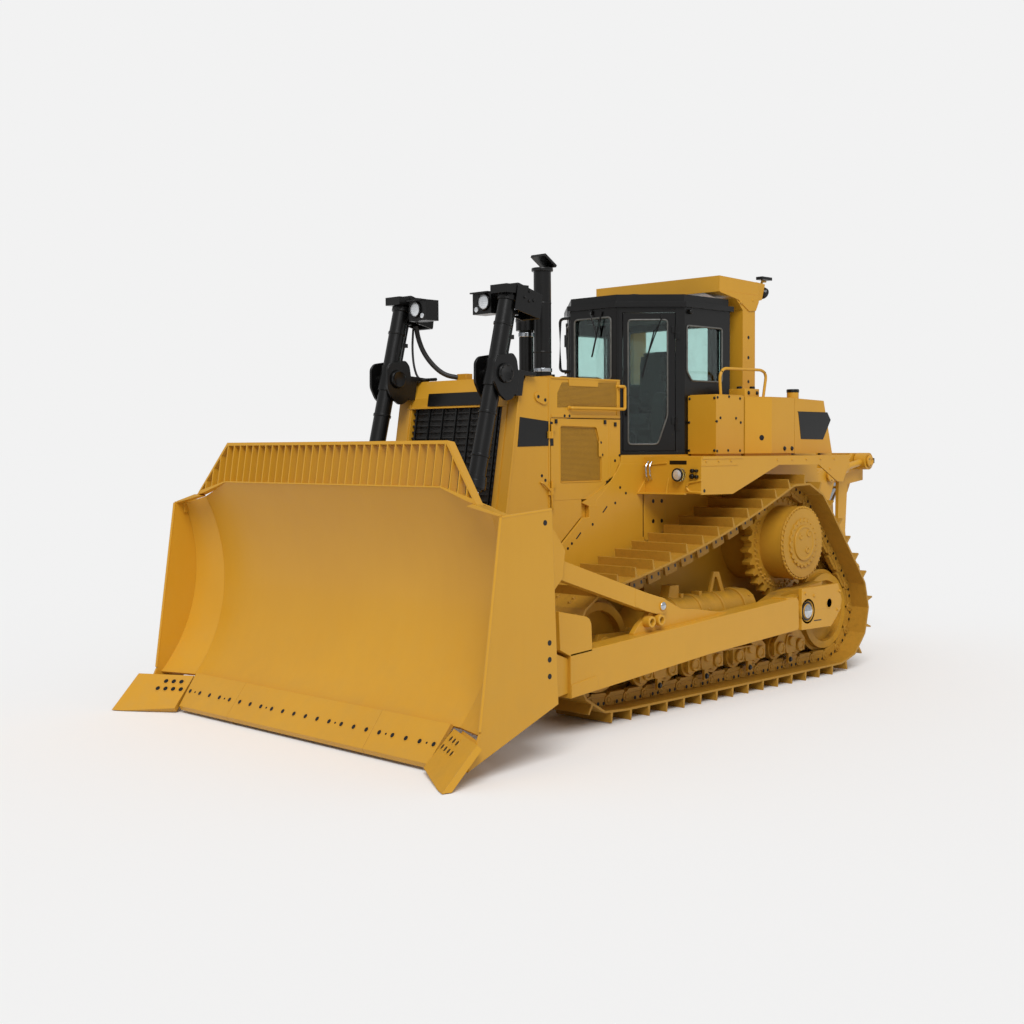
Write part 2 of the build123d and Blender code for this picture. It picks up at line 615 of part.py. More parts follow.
def build_cab():
    """Hollow cab: floor, front, rear and side walls with cut windows, roof, doors, glass and seat."""
    front_pane = [(-225, 2900), (225, 3480)]
    rear_pane = [(-520, 2900), (520, 3440)]
    side_pane = [(-1759, 2883), (-1215, 3397)]
    inside = CAB_FLOOR + CAB_FLOOR_WALL
    walls = slab(cab_outline(0), inside, CAB_WALL_TOP) - slab(cab_outline(CAB_WALL), inside, CAB_WALL_TOP)
    hole = door_slab([(DOOR_START, inside), (DOOR_END, inside), (DOOR_END, DOOR_HIGH), (DOOR_START, DOOR_HIGH)], -20, 75)
    walls -= hole
    walls -= other_side(hole)
    walls -= cross_plate(grown(front_pane, 0), CAB_FRONT - 10, CAB_FRONT + CAB_WALL + 10)
    walls -= cross_plate(grown(rear_pane, 0), CAB_REAR - CAB_WALL - 10, CAB_REAR + 10)
    walls -= side_plate(grown(side_pane, 0), -CAB_HALF - 10, CAB_HALF + 10)
    front_zone = block(-CAB_FRONT_HALF - 15, CAB_FRONT_HALF + 15, CAB_FRONT - 10, CAB_FRONT + 70, inside, CAB_WALL_TOP)
    rear_zone = block(-CAB_HALF + CAB_WALL, CAB_HALF - CAB_WALL, CAB_REAR - CAB_WALL, CAB_REAR, inside, CAB_WALL_TOP)
    left_zone = block(0, 900, -2400, -900, inside, CAB_WALL_TOP)
    keep("cab_floor", slab(cab_outline(0), CAB_FLOOR, inside))
    keep("cab_front", walls & front_zone)
    keep("cab_rear", walls & rear_zone)
    side = ((walls - front_zone) - rear_zone) & left_zone
    side += cab_knuckles(DOOR_END, DOOR_END + HINGE_STRAP, -HINGE_LENGTH, -SEAT)
    keep_both("cab_sides", side)
    roof = slab(cab_outline(-CAB_ROOF_BRIM), CAB_WALL_TOP, CAB_WALL_TOP + 50)
    roof += slab(cab_outline(10), CAB_WALL_TOP + 50, CAB_ROOF_TOP)
    keep("cab_roof", roof)
    glass = cross_plate(grown(front_pane, -SEAT), CAB_FRONT + 20, CAB_FRONT + 20 + GLASS_WALL)
    rear_glass = cross_plate(grown(rear_pane, -SEAT), CAB_REAR - 20 - GLASS_WALL, CAB_REAR - 20)
    side_glass = side_plate(grown(side_pane, -SEAT), CAB_HALF - 20 - GLASS_WALL, CAB_HALF - 20)
    keep("cab_glass", glass, rear_glass, side_glass, other_side(side_glass))
    low = DOOR_LOW + LEAF_GAP + 5
    leaf_line = [(DOOR_START + LEAF_GAP, low), (DOOR_END - LEAF_GAP, low), (DOOR_END - LEAF_GAP, DOOR_HIGH - LEAF_GAP),
                 (DOOR_START + LEAF_GAP, DOOR_HIGH - LEAF_GAP)]
    pane_line = [(115, 2290), (390, 2290), (480, 2555), (480, 3450), (115, 3450)]
    leaf = door_slab(leaf_line, -4, LEAF_WALL - 4) - door_slab(pane_line, -20, 60)
    leaf += cab_knuckles(DOOR_END - HINGE_STRAP, DOOR_END, 0, HINGE_LENGTH) - door_slab(
        [(DOOR_END - LEAF_GAP, 2300), (DOOR_END + 20, 2300), (DOOR_END + 20, 3500), (DOOR_END - LEAF_GAP, 3500)], -SEAT, 20)
    keep_pair("cab_door", leaf)
    pane = [(115 + SEAT, 2290 + SEAT), (389.8, 2290 + SEAT), (480 - SEAT, 2555.2), (480 - SEAT, 3450 - SEAT),
            (115 + SEAT, 3450 - SEAT)]
    keep_pair("door_glass", door_slab(pane, 12, 12 + GLASS_WALL))
    seat = block(-180, 180, -1640, -1240, inside + SEAT, inside + 220)
    seat += block(-260, 260, -1700, -1180, inside + 220, inside + 370)
    seat += block(-240, 240, -1320, -1180, inside + 370, inside + 1020)
    keep("operator_seat", seat)


def build_canopy():
    """Roll-over structure behind the cab: two posts and a deep box beam that drops to them."""
    beam = side_plate([(CANOPY_FRONT, CANOPY_LOW), (CANOPY_FRONT, CANOPY_TOP), (CANOPY_REAR, CANOPY_TOP - 20),
                       (CANOPY_REAR, 3700), (POST_REAR, 3595), (POST_FRONT, 3595), (-1030, CAB_ROOF_TOP + 10)],
                      -CANOPY_HALF, CANOPY_HALF)
    beam -= block(-POST_INNER, POST_INNER, CANOPY_FRONT - 10, CANOPY_REAR + 10, 3500, CANOPY_LOW)
    post = block(POST_INNER, CANOPY_HALF, POST_FRONT, POST_REAR, CAB_FLOOR, 3610)
    keep("rollover_canopy", beam + post + other_side(post))


# Fenders and tanks

def build_fenders():
    """Decks over the tracks with their side plates, which rise in an arch over the sprocket."""
    inner = HULL_HALF + SEAT
    deck = block(inner, FENDER_OUTER, FENDER_FRONT, FENDER_REAR, DECK_TOP - DECK_WALL, DECK_TOP)
    deck += block(inner, FENDER_OUTER, FENDER_FRONT, FENDER_FRONT + DECK_WALL, 1845, DECK_TOP)
    skirt = [(FENDER_FRONT, 1840), (-1927, 1835), (-1190, 2088), (-500, 2080), (-160, 1910), (-60, 1905),
             (FENDER_REAR, 2080), (FENDER_REAR, DECK_TOP), (FENDER_FRONT, DECK_TOP)]
    deck += side_plate(skirt, FENDER_OUTER - SKIRT_WALL, FENDER_OUTER)
    keep_both("fenders", deck)
    lamp = bar((1166, FENDER_FRONT - SEAT, 2014), (1166, FENDER_FRONT - 50, 2014), 58)
    keep_both("fender_lamps", lamp)


def build_tanks():
    """Boxes on the fenders beside the cab and the fuel tank across the rear."""
    low = DECK_TOP + SEAT
    case = block(CAB_HALF + RUNNING, 1075, -1750, -1310, DECK_TOP + BOX_LIFT, 2740)
    case += block(CAB_HALF + RUNNING + 20, 1055, -1730, -1320, low, DECK_TOP + BOX_LIFT)
    tank_low = DECK_TOP + BOX_LIFT
    inner = CANOPY_HALF + RUNNING
    tank = slab([(inner, -1290), (1075, -1290), (TANK_HALF, -1000), (TANK_HALF, TANK_FRONT - RUNNING),
                 (inner, TANK_FRONT - RUNNING)], tank_low, 2730)
    tank += slab([(inner + 20, -1270), (1060, -1270), (TANK_HALF - 20, -990), (TANK_HALF - 20, TANK_FRONT - 25),
                  (inner + 20, TANK_FRONT - 25)], low, tank_low)
    keep_both("side_boxes", case, tank)
    fuel = side_plate([(TANK_FRONT, CAB_FLOOR), (TANK_FRONT, 2730), (-86, 2715), (76, CAB_FLOOR)], -TANK_HALF, TANK_HALF)
    keep("fuel_tank", fuel)


# Blade

def circle_centre(first, second, third):
    """Centre of the circle through three (station, height) points."""
    (ax, ay), (bx, by), (cx, cy) = first, second, third
    d = 2 * (ax * (by - cy) + bx * (cy - ay) + cx * (ay - by))
    a, b, c = ax * ax + ay * ay, bx * bx + by * by, cx * cx + cy * cy
    return ((a * (by - cy) + b * (cy - ay) + c * (ay - by)) / d, (a * (cx - bx) + b * (ax - cx) + c * (bx - ax)) / d)


def arc_section(points, back_from, back_to):
    """Face of a curved sheet between two depths behind the arc through three points."""
    centre = circle_centre(*points)
    radius = hypot(points[0][0] - centre[0], points[0][1] - centre[1])

    def behind(point, depth):
        scale = (radius + depth) / radius
        return Vector(0, centre[0] + (point[0] - centre[0]) * scale, centre[1] + (point[1] - centre[1]) * scale)

    front = [behind(point, back_from) for point in points]
    back = [behind(point, back_to) for point in points]
    lines = [ThreePointArc(*front), Line(front[2], back[2]), ThreePointArc(back[2], back[1], back[0]),
             Line(back[0], front[0])]
    return make_face(lines)


def on_bit(points, depth_from, depth_to):
    """Piece on the end bit's plane: points are in its plane, depth counts backwards."""
    face = BIT_PLANE.offset(-depth_to) * Polygon(*points, align=None)
    return extrude(face, depth_to - depth_from, dir=BIT_PLANE.z_dir)


def board_top_line(above):
    """Outline of (x, height) points along the top edge of board and wings, at a height above it."""
    return [(-JOINT_HIGH_X, JOINT_HIGH_Z + above), (-BOARD_TOP_HALF, BOARD_TOP[1] + above),
            (BOARD_TOP_HALF, BOARD_TOP[1] + above), (JOINT_HIGH_X, JOINT_HIGH_Z + above)]


def lip_point(along, forward):
    """Point near the blade's lower lip: a distance down it and a distance in front of it."""
    return (BOARD_LOW[0] + LIP_DOWN[0] * along + LIP_FORWARD[0] * forward,
            BOARD_LOW[1] + LIP_DOWN[1] * along + LIP_FORWARD[1] * forward)


def build_blade():
    """Moldboard with its wings, end plates, cutting edges and end bits."""
    board_line = (BOARD_LOW, BOARD_MIDDLE, BOARD_TOP)
    reach = 2400
    board = Pos(-reach, 0, 0) * extrude(arc_section(board_line, 0, BOARD_WALL), 2 * reach, dir=(1, 0, 0))
    front, rear = -5900, -5000
    board &= cross_plate(board_top_line(0) + [(JOINT_LOW_X, 200), (-JOINT_LOW_X, 200)], front, rear)
    lip = [lip_point(-20, -2), lip_point(0, 0), lip_point(LIP_LENGTH, 0), lip_point(LIP_LENGTH, -LIP_WALL),
           lip_point(-20, -LIP_WALL)]
    board += side_plate(lip, -LIP_HALF, LIP_HALF)
    keep("moldboard", board)

    joint_middle_z = (BOARD_LOW[1] + JOINT_HIGH_Z) / 2
    joint_middle_x = (JOINT_LOW_X + JOINT_HIGH_X) / 2
    joint_slope = (JOINT_HIGH_X - JOINT_LOW_X) / (JOINT_HIGH_Z - BOARD_LOW[1])
    wing_line = [(y + WING_SWEEP * joint_slope * (z - joint_middle_z), z) for y, z in board_line]
    start = joint_middle_x - 100
    section = arc_section(wing_line, 0, BOARD_WALL)
    wing = extrude(section, 600, dir=Vector(1, -WING_SWEEP, 0).normalized())
    wing = Pos(start, 100 * WING_SWEEP, 0) * wing
    end = END_PLATE_INNER - SEAT
    wing &= cross_plate([(JOINT_LOW_X + SEAT, 200), (end, 200), (end, WING_END_Z), (JOINT_HIGH_X + SEAT, JOINT_HIGH_Z)],
                        -6200, rear)
    backing = on_bit([(30, 30), (480, 30), (480, -190), (75, -190)], BIT_WALL + SEAT, BIT_WALL + 40)
    backing &= block(1500, end, -6300, rear, 0, 600)
    (ax, ay), (bx, by), (cx, cy), (dx, dy) = BIT_OUTLINE
    room = on_bit([(ax - 5, ay + SEAT), (bx + 40, by + SEAT), (cx + 60, cy - 60), (dx - 5, dy - 60)], -400, BIT_WALL + SEAT)
    keep_both("blade_wings", (wing + backing) - room)

    bit = on_bit(BIT_OUTLINE, 0, BIT_WALL)
    bit -= block(1400, 2400, -6400, -5400, -200, BIT_CLEARANCE_Z)
    keep_both("end_bits", bit)
    plate = side_plate([(-5547, 1784), (-5759, 340), (-5888, 89), (-4990, 430), (-5047, 1819)],
                       END_PLATE_INNER, END_PLATE_INNER + END_PLATE_WALL)
    keep_both("end_plates", plate - room)

    section = [lip_point(0, SEAT), lip_point(EDGE_LENGTH, SEAT), lip_point(EDGE_LENGTH - 20, EDGE_WALL + SEAT),
               lip_point(0, EDGE_WALL + SEAT)]
    edge = side_plate(section, -1700, 1700)
    edge &= cross_plate([(-1640, 400), (1640, 400), (1590, 0), (-1590, 0)], -6000, -5400)
    for sign in (-1, 1):
        edge -= block(sign * EDGE_JOINT_X - 1.5, sign * EDGE_JOINT_X + 1.5, -6000, -5400, 0, 400)
    keep("cutting_edges", edge)


def build_spill_guard():
    """Upright bars in a frame on the blade's top edge, sloping down over the blade's shoulders."""
    low = BOARD_TOP[1] - 14
    shoulder = (1780, 1860)
    outer = [(-SPILL_GUARD_HALF, SPILL_GUARD_TOP), (SPILL_GUARD_HALF, SPILL_GUARD_TOP), shoulder, (BOARD_TOP_HALF, low),
             (-BOARD_TOP_HALF, low), (-shoulder[0], shoulder[1])]
    wall = 26
    inner = [(-SPILL_GUARD_HALF + 10, SPILL_GUARD_TOP - wall), (SPILL_GUARD_HALF - 10, SPILL_GUARD_TOP - wall),
             (shoulder[0] - 60, shoulder[1] + 48), (BOARD_TOP_HALF, low + wall), (-BOARD_TOP_HALF, low + wall),
             (-shoulder[0] + 60, shoulder[1] + 48)]
    guard = cross_plate(outer, 0, GUARD_BAR_DEPTH) - cross_plate(inner, -1, GUARD_BAR_DEPTH + 1)
    count = int(1660 / GUARD_BAR_PITCH)
    bars = []
    for k in range(-count, count + 1):
        x = k * GUARD_BAR_PITCH
        bars.append(block(x - GUARD_BAR_WALL / 2, x + GUARD_BAR_WALL / 2, 0, GUARD_BAR_DEPTH, 1800, 2400))
    guard += Compound(bars) & cross_plate(outer, 0, GUARD_BAR_DEPTH)
    guard = Pos(0, 0, -low) * guard
    guard = Pos(0, BOARD_TOP[0] - 10, low) * Rot(-SPILL_GUARD_LEAN, 0, 0) * guard
    guard -= cross_plate(board_top_line(SEAT) + [(JOINT_HIGH_X, 1500), (-JOINT_HIGH_X, 1500)], -5600, -5300)
    keep("spill_guard", guard)


def build_blade_back():
    """Stiffening box behind the moldboard, with the lugs for cylinders, arms and braces."""
    board_line = (BOARD_LOW, BOARD_MIDDLE, BOARD_TOP)
    box = side_plate([(-5700, 360), (-5500, 345), (BOX_REAR, 420), (BOX_REAR, 880), (-5120, 1240), (-5400, 1330)],
                     -BOX_HALF, BOX_HALF)
    centre = circle_centre(*board_line)
    radius = hypot(BOARD_LOW[0] - centre[0], BOARD_LOW[1] - centre[1]) + BOARD_WALL + SEAT
    box -= drum(-BOX_HALF - 1, BOX_HALF + 1, *centre, radius)
    lug = [(BOX_REAR, 430), (BOX_REAR, 880), (LIFT_EYE_STATION - 30, LIFT_EYE_HEIGHT + 95),
           (LIFT_EYE_STATION + 70, LIFT_EYE_HEIGHT + 70), (LIFT_EYE_STATION + 100, LIFT_EYE_HEIGHT),
           (LIFT_EYE_STATION + 70, LIFT_EYE_HEIGHT - 70), (LIFT_EYE_STATION - 30, LIFT_EYE_HEIGHT - 95)]
    gap = LIFT_EYE_HALF + RUNNING + 1
    arm_lug = [(BOX_REAR, 800), (-4700, 760), (-4382 - SEAT, 640), (-4382 - SEAT, 372), (-4700, 330), (BOX_REAR, 420)]
    brace_lug = [(BOX_REAR, 1000), (-5120, 1240), (-5200, 1330), (-4900, 1700), (-4560, 1640), (-4440, 1480),
                 (-4470, 1270), (-4600, 1150)]
    for sign in (-1, 1):
        for offset in (-gap - LIFT_LUG_WALL, gap):
            box += side_plate(lug, sign * LIFT_X + offset, sign * LIFT_X + offset + LIFT_LUG_WALL)
    box += side_plate(arm_lug, 1490, 1610) + side_plate(arm_lug, -1610, -1490)
    for x_from in (1462, 1600, -1502, -1640):
        box += side_plate(brace_lug, x_from, x_from + 40)
    keep("blade_box", box)


def build_arms():
    """Push arms from the trunnions to the blade, and the braces above them."""
    arm = side_plate([(-1239, 859), (-1224, 557), (-2605, 481), (-4382, 332), (-4382, 677)], ARM_INNER, ARM_OUTER)
    arm += drum(ARM_INNER, ARM_OUTER, TRUNNION_STATION, TRUNNION_HEIGHT, 175)
    cover = [(-4380, 660), (-4500, 720), (-4510, 1011), (-4190, 965), (-4137, 913), (-4137, 680)]
    arm += side_plate(cover, ARM_INNER + 30, ARM_OUTER)
    ball_x = ARM_OUTER - 60
    arm -= drum(ball_x - TRUNNION_BALL - SEAT, ARM_OUTER + 10, TRUNNION_STATION, TRUNNION_HEIGHT, TRUNNION_BALL + SEAT)
    arm -= drum(ARM_INNER - 30, ball_x, TRUNNION_STATION, TRUNNION_HEIGHT, TRUNNION_NECK + 25)
    ear = [(-3450, 700), (-3350, 980), (-3260, 1040), (-3150, 1040), (-3080, 960), (-3040, 700)]
    for x_from in (ARM_INNER, ARM_OUTER - 40):
        arm += side_plate(ear, x_from, x_from + 40)
    arm += drum(ARM_INNER, ARM_OUTER, -3199, 945, 45)
    keep_pair("push_arm", arm)
    brace = side_plate([(-4478, 1262), (-4437, 1403), (-3329, 1048), (-3270, 1000), (-3310, 900), (-3395, 919)],
                       ARM_INNER + 40 + SEAT, ARM_OUTER - 40 - SEAT)
    brace += drum(ARM_INNER + 40 + SEAT, ARM_OUTER - 40 - SEAT, -3199, 945, 88)
    brace += side_plate([(-3400, 925), (-3350, 1045), (-3199, 1033), (-3199, 857)], ARM_INNER + 60, ARM_OUTER - 60)
    brace -= drum(ARM_INNER, ARM_OUTER, -3199, 945, 45 + SEAT)
    brace += side_plate([(-4700, 1370), (-4680, 1460), (-4440, 1395), (-4470, 1270)], ARM_INNER + 40 + SEAT,
                        ARM_OUTER - 40 - SEAT)
    keep_both("tilt_braces", brace)


# Blade lift cylinders

def along_cylinder(distance, forward=0):
    """Point on the left lift cylinder's axis, below its trunnion and in front of it."""
    y = LIFT_EYE_STATION - LIFT_TRUNNION_STATION
    z = LIFT_EYE_HEIGHT - LIFT_TRUNNION_HEIGHT
    length = hypot(y, z)
    return (LIFT_X, LIFT_TRUNNION_STATION + y / length * distance + z / length * forward,
            LIFT_TRUNNION_HEIGHT + z / length * distance - y / length * forward)


def build_lift_cylinders():
    """Barrels that swing in yokes on the guard, their rods, the yokes and the work lamps on top."""
    top, foot = along_cylinder(-BARREL_ABOVE), along_cylinder(BARREL_BELOW)
    barrel = bar(top, foot, BARREL_RADIUS)
    barrel += drum(LIFT_X - YOKE_HALF_GAP - YOKE_WALL, LIFT_X + YOKE_HALF_GAP + YOKE_WALL, LIFT_TRUNNION_STATION,
                   LIFT_TRUNNION_HEIGHT, BARREL_PIN)
    barrel += bar(along_cylinder(-110), along_cylinder(110), BARREL_RADIUS + 12)
    barrel += bar(along_cylinder(BARREL_BELOW - 110), foot, BARREL_RADIUS + 12)
    barrel -= bar(along_cylinder(-BARREL_ABOVE + 60), along_cylinder(BARREL_BELOW + 5), ROD_RADIUS + SEAT)
    barrel += block(LIFT_X - 95, LIFT_X + 95, top[1] - 120, top[1] + 140, top[2] - 30, top[2] + 40)
    lamp = block(405 - 110, 405 + 110, -4110, -3960, 3380, 3560)
    lamp += block(405 + 110, LIFT_X - 95, -4060, -4000, 3520, 3580)
    keep_pair("lift_barrel", barrel + lamp)
    eye = (LIFT_EYE_STATION, LIFT_EYE_HEIGHT)
    rod = bar(along_cylinder(ROD_TOP), (LIFT_X, *eye), ROD_RADIUS)
    rod += drum(LIFT_X - LIFT_EYE_HALF, LIFT_X + LIFT_EYE_HALF, *eye, LIFT_EYE_RADIUS)
    keep_pair("lift_rod", rod)
    back = guard_front(2640) - SEAT, guard_front(2700) - SEAT
    yoke_line = [(back[0], 2640), (back[1], 2700), (back[1] + 90, GUARD_TOP + SEAT), (-3850, GUARD_TOP + SEAT),
                 (-3850, 2980), (-4150, 3040), (-4330, 2980), (-4345, 2800), (-4260, 2690), (-4120, 2640)]
    yoke = side_plate(yoke_line, LIFT_X - YOKE_HALF_GAP - YOKE_WALL, LIFT_X - YOKE_HALF_GAP - SEAT)
    yoke += side_plate(yoke_line, LIFT_X + YOKE_HALF_GAP + SEAT, LIFT_X + YOKE_HALF_GAP + YOKE_WALL)
    yoke += block(LIFT_X - YOKE_HALF_GAP - YOKE_WALL, LIFT_X + YOKE_HALF_GAP + YOKE_WALL, -3915, -3850,
                  GUARD_TOP + SEAT, 2900)
    yoke -= drum(LIFT_X - 200, LIFT_X + 200, LIFT_TRUNNION_STATION, LIFT_TRUNNION_HEIGHT, BARREL_PIN + SEAT)
    keep_both("lift_yokes", yoke)


# Ripper

def build_ripper():
    """Parallel-link ripper: brackets, lower links, carriage with its shank, tilt and lift cylinders."""
    upper = (RIPPER_UPPER_STATION, RIPPER_UPPER_HEIGHT)
    lower = (RIPPER_LOWER_STATION, RIPPER_LOWER_HEIGHT)
    upper_root = (upper[0] - RIPPER_LINK_REACH, upper[1] - RIPPER_LINK_RISE)
    lower_root = (lower[0] - RIPPER_LINK_REACH, lower[1] - RIPPER_LINK_RISE)
    pin, eye = RIPPER_PIN, RIPPER_EYE_HALF
    back = CASE_REAR + SEAT
    outline = [(back, 610), (700, 610), (730, 830), (780, 1400), (1010, 1850), (1010, 2020), (840, 2030), (back, 1880)]
    bracket = drum(-650, 650, *lower_root, pin) + drum(-650, 650, *upper_root, pin)
    for sign in (-1, 1):
        for off in (-110, 70):
            bracket += side_plate(outline, sign * RIPPER_ARM_X + off, sign * RIPPER_ARM_X + off + 40)
    bracket -= block(-400, 400, back, 1100, 560, 2100)
    root_lug = [(back, 600), (back, 780), (RIPPER_LIFT_ROOT[0] + 50, 745), (RIPPER_LIFT_ROOT[0] + 75, 650),
                (RIPPER_LIFT_ROOT[0] + 40, 610)]
    for sign in (-1, 1):
        for off in (-104, 64):
            x_from = sign * RIPPER_LIFT_X + off
            bracket += side_plate(root_lug, x_from, x_from + 40)
        bracket += drum(sign * RIPPER_LIFT_X - 100, sign * RIPPER_LIFT_X + 100, *RIPPER_LIFT_ROOT, 35)
    keep("ripper_bracket", bracket)

    links = block(-470, 470, 1130, 1250, 760, 860)
    for sign in (-1, 1):
        middle = sign * RIPPER_ARM_X
        line = [(lower_root[0], lower_root[1] - 75), (lower_root[0], lower_root[1] + 75), (lower[0], lower[1] + 75),
                (lower[0], lower[1] - 75)]
        links += side_plate(line, middle - 60, middle + 60)
        links += drum(middle - eye, middle + eye, *lower_root, 80)
        links += drum(middle - 60, middle + 60, *lower, 80)
        for place in (lower_root, lower):
            links -= drum(middle - 100, middle + 100, *place, pin + SEAT)
    keep("ripper_links", links)

    side_line = [(1440, 690), (1610, 690), (1640, 900), (1560, 1300), (1600, 1830), (REAR_REACH, 1868),
                 (REAR_REACH, 2178), (1720, 2178), (1420, 1900), (1400, 1000)]
    carriage = side_plate(side_line, RIPPER_HALF - 40, RIPPER_HALF)
    carriage += side_plate(side_line, -RIPPER_HALF, -RIPPER_HALF + 40)
    carriage += block(-RIPPER_HALF, RIPPER_HALF, 1730, REAR_REACH, 1880, 2178)
    carriage += block(-RIPPER_HALF, RIPPER_HALF, 1450, 1600, 700, 800)
    pocket = [(1480, 690), (1790, 690), (1820, 1400), (1780, 1900), (1700, 1900), (1520, 1400)]
    carriage += side_plate(pocket, -130, 130)
    carriage += drum(-RIPPER_ARM_X - 80, RIPPER_ARM_X + 80, *lower, pin)
    carriage += drum(RIPPER_HALF - 10, RIPPER_ARM_X + 80, *upper, 55) + drum(-RIPPER_ARM_X - 80, -RIPPER_HALF + 10, *upper, 55)
    for sign in (-1, 1):
        for off in (-95, 55):
            x_from = sign * RIPPER_LIFT_X + off
            lug_line = [(RIPPER_LIFT_EYE[0] - 60, RIPPER_LIFT_EYE[1] - 60), (RIPPER_LIFT_EYE[0] + 60, RIPPER_LIFT_EYE[1] - 60),
                        (1800, 1900), (1740, 1960), (RIPPER_LIFT_EYE[0] - 60, RIPPER_LIFT_EYE[1] + 60)]
            carriage += side_plate(lug_line, x_from, x_from + 40)
    shank_slot = block(-39, 39, 1600, 1760, 600, 2200)
    carriage -= shank_slot
    keep("ripper_carriage", carriage)
    shank = [(1605, 700), (1605, 2110), (1755, 2110), (1755, 760), (1640, 420), (1380, 330), (1390, 400), (1560, 520)]
    keep("ripper_shank", side_plate(shank, -39 + SEAT, 39 - SEAT))

    tilts = []
    for sign in (-1, 1):
        middle = sign * RIPPER_ARM_X
        start, end = (middle, *upper_root), (middle, *upper)
        body = bar(start, end, 38) + bar(start, (middle, upper_root[0] + 500, upper_root[1] + 84), 66)
        body += drum(middle - eye, middle + eye, *upper_root, 85)
        body += drum(middle - eye, middle + eye, *upper, 95)
        body -= drum(middle - 200, middle + 200, *upper, 55 + SEAT)
        body -= drum(middle - 200, middle + 200, *upper_root, pin + SEAT)
        tilts.append(body)
    keep("ripper_tilt_cylinders", *tilts)

    reach = hypot(RIPPER_LIFT_EYE[0] - RIPPER_LIFT_ROOT[0], RIPPER_LIFT_EYE[1] - RIPPER_LIFT_ROOT[1])

    def on_lift(sign, distance):
        share = distance / reach
        return (sign * RIPPER_LIFT_X, RIPPER_LIFT_ROOT[0] + (RIPPER_LIFT_EYE[0] - RIPPER_LIFT_ROOT[0]) * share,
                RIPPER_LIFT_ROOT[1] + (RIPPER_LIFT_EYE[1] - RIPPER_LIFT_ROOT[1]) * share)

    barrels, rods = [], []
    for sign in (-1, 1):
        middle = sign * RIPPER_LIFT_X
        barrel = bar(on_lift(sign, 0), on_lift(sign, 760), 62)
        barrel += drum(middle - 63.7, middle + 63.7, *RIPPER_LIFT_ROOT, 66)
        barrel -= drum(middle - 100, middle + 100, *RIPPER_LIFT_ROOT, 35 + SEAT)
        barrel -= bar(on_lift(sign, 90), on_lift(sign, 765), 36 + SEAT)
        rod = bar(on_lift(sign, 660), on_lift(sign, reach), 36)
        rod += drum(middle - 49, middle + 49, *RIPPER_LIFT_EYE, 62)
        barrels.append(barrel)
        rods.append(rod)
    keep("ripper_lift_barrels", *barrels)
    keep("ripper_lift_rods", *rods)


def main():
    """Build every sub-part and write one STEP file for each."""
    build_track()
    build_final_drives()
    build_idlers()
    build_rollers()
    build_track_frames()
    build_hull()
    build_radiator_guard()
    build_hood()
    build_engine_doors()
    build_cab()
    build_canopy()
    build_fenders()
    build_tanks()
    build_blade()
    build_spill_guard()
    build_blade_back()
    build_arms()
    build_lift_cylinders()
    build_ripper()
    box = group(NODES.values()).bounding_box()
    shift = -(box.min.Y + box.max.Y) / 2
    os.makedirs("parts", exist_ok=True)
    for name, shape in NODES.items():
        export_step(Pos(0, shift, 0) * shape, f"parts/{name}.step")


main()
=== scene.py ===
"""A crawler bulldozer dressed around its solid model: finishes, small parts, floor, light and camera."""
import math
import bmesh
import bpy
import numpy as np
from mathutils import Matrix, Vector


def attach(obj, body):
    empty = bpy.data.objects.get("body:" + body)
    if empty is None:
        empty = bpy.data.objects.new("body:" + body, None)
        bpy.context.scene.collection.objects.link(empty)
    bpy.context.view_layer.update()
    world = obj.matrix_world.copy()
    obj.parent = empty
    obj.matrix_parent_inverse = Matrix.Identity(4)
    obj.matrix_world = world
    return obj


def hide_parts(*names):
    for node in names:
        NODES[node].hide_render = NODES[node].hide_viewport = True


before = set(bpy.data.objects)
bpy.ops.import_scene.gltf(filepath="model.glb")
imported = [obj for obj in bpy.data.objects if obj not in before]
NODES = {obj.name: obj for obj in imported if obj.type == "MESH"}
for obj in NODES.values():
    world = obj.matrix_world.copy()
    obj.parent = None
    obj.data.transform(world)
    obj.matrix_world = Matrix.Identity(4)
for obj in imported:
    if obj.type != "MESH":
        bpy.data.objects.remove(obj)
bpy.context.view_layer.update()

# The machine's own places, in metres: the shift from the measuring frame to the stored frame
SHIFT = 2.118868

BACKGROUND = 0.888
SUN_POWER = 2.1
SKY_POWER = 0.60
SUN_TURN = (0.50, -0.48, 0.72)

# How much weaker the light on the floor comes out than sun and sky add up to, and the tone with which
# the floor lights the machine
FLOOR_LOSS = 1.125
FLOOR_BOUNCE = 0.75
FLOOR_REACH = 400.0

# The camera fitted to the photograph: lens in millimetres, place in metres, turns in degrees
CAMERA_LENS = 48.67
CAMERA_PLACE = (8.753, -12.210 + SHIFT, 2.272)
CAMERA_TURNS = (44.67, 2.70, -0.33)


def linked(name, data):
    """A new object in the scene that shows this mesh, lamp or camera."""
    made = bpy.data.objects.new(name, data)
    bpy.context.scene.collection.objects.link(made)
    return made


# Shader expressions

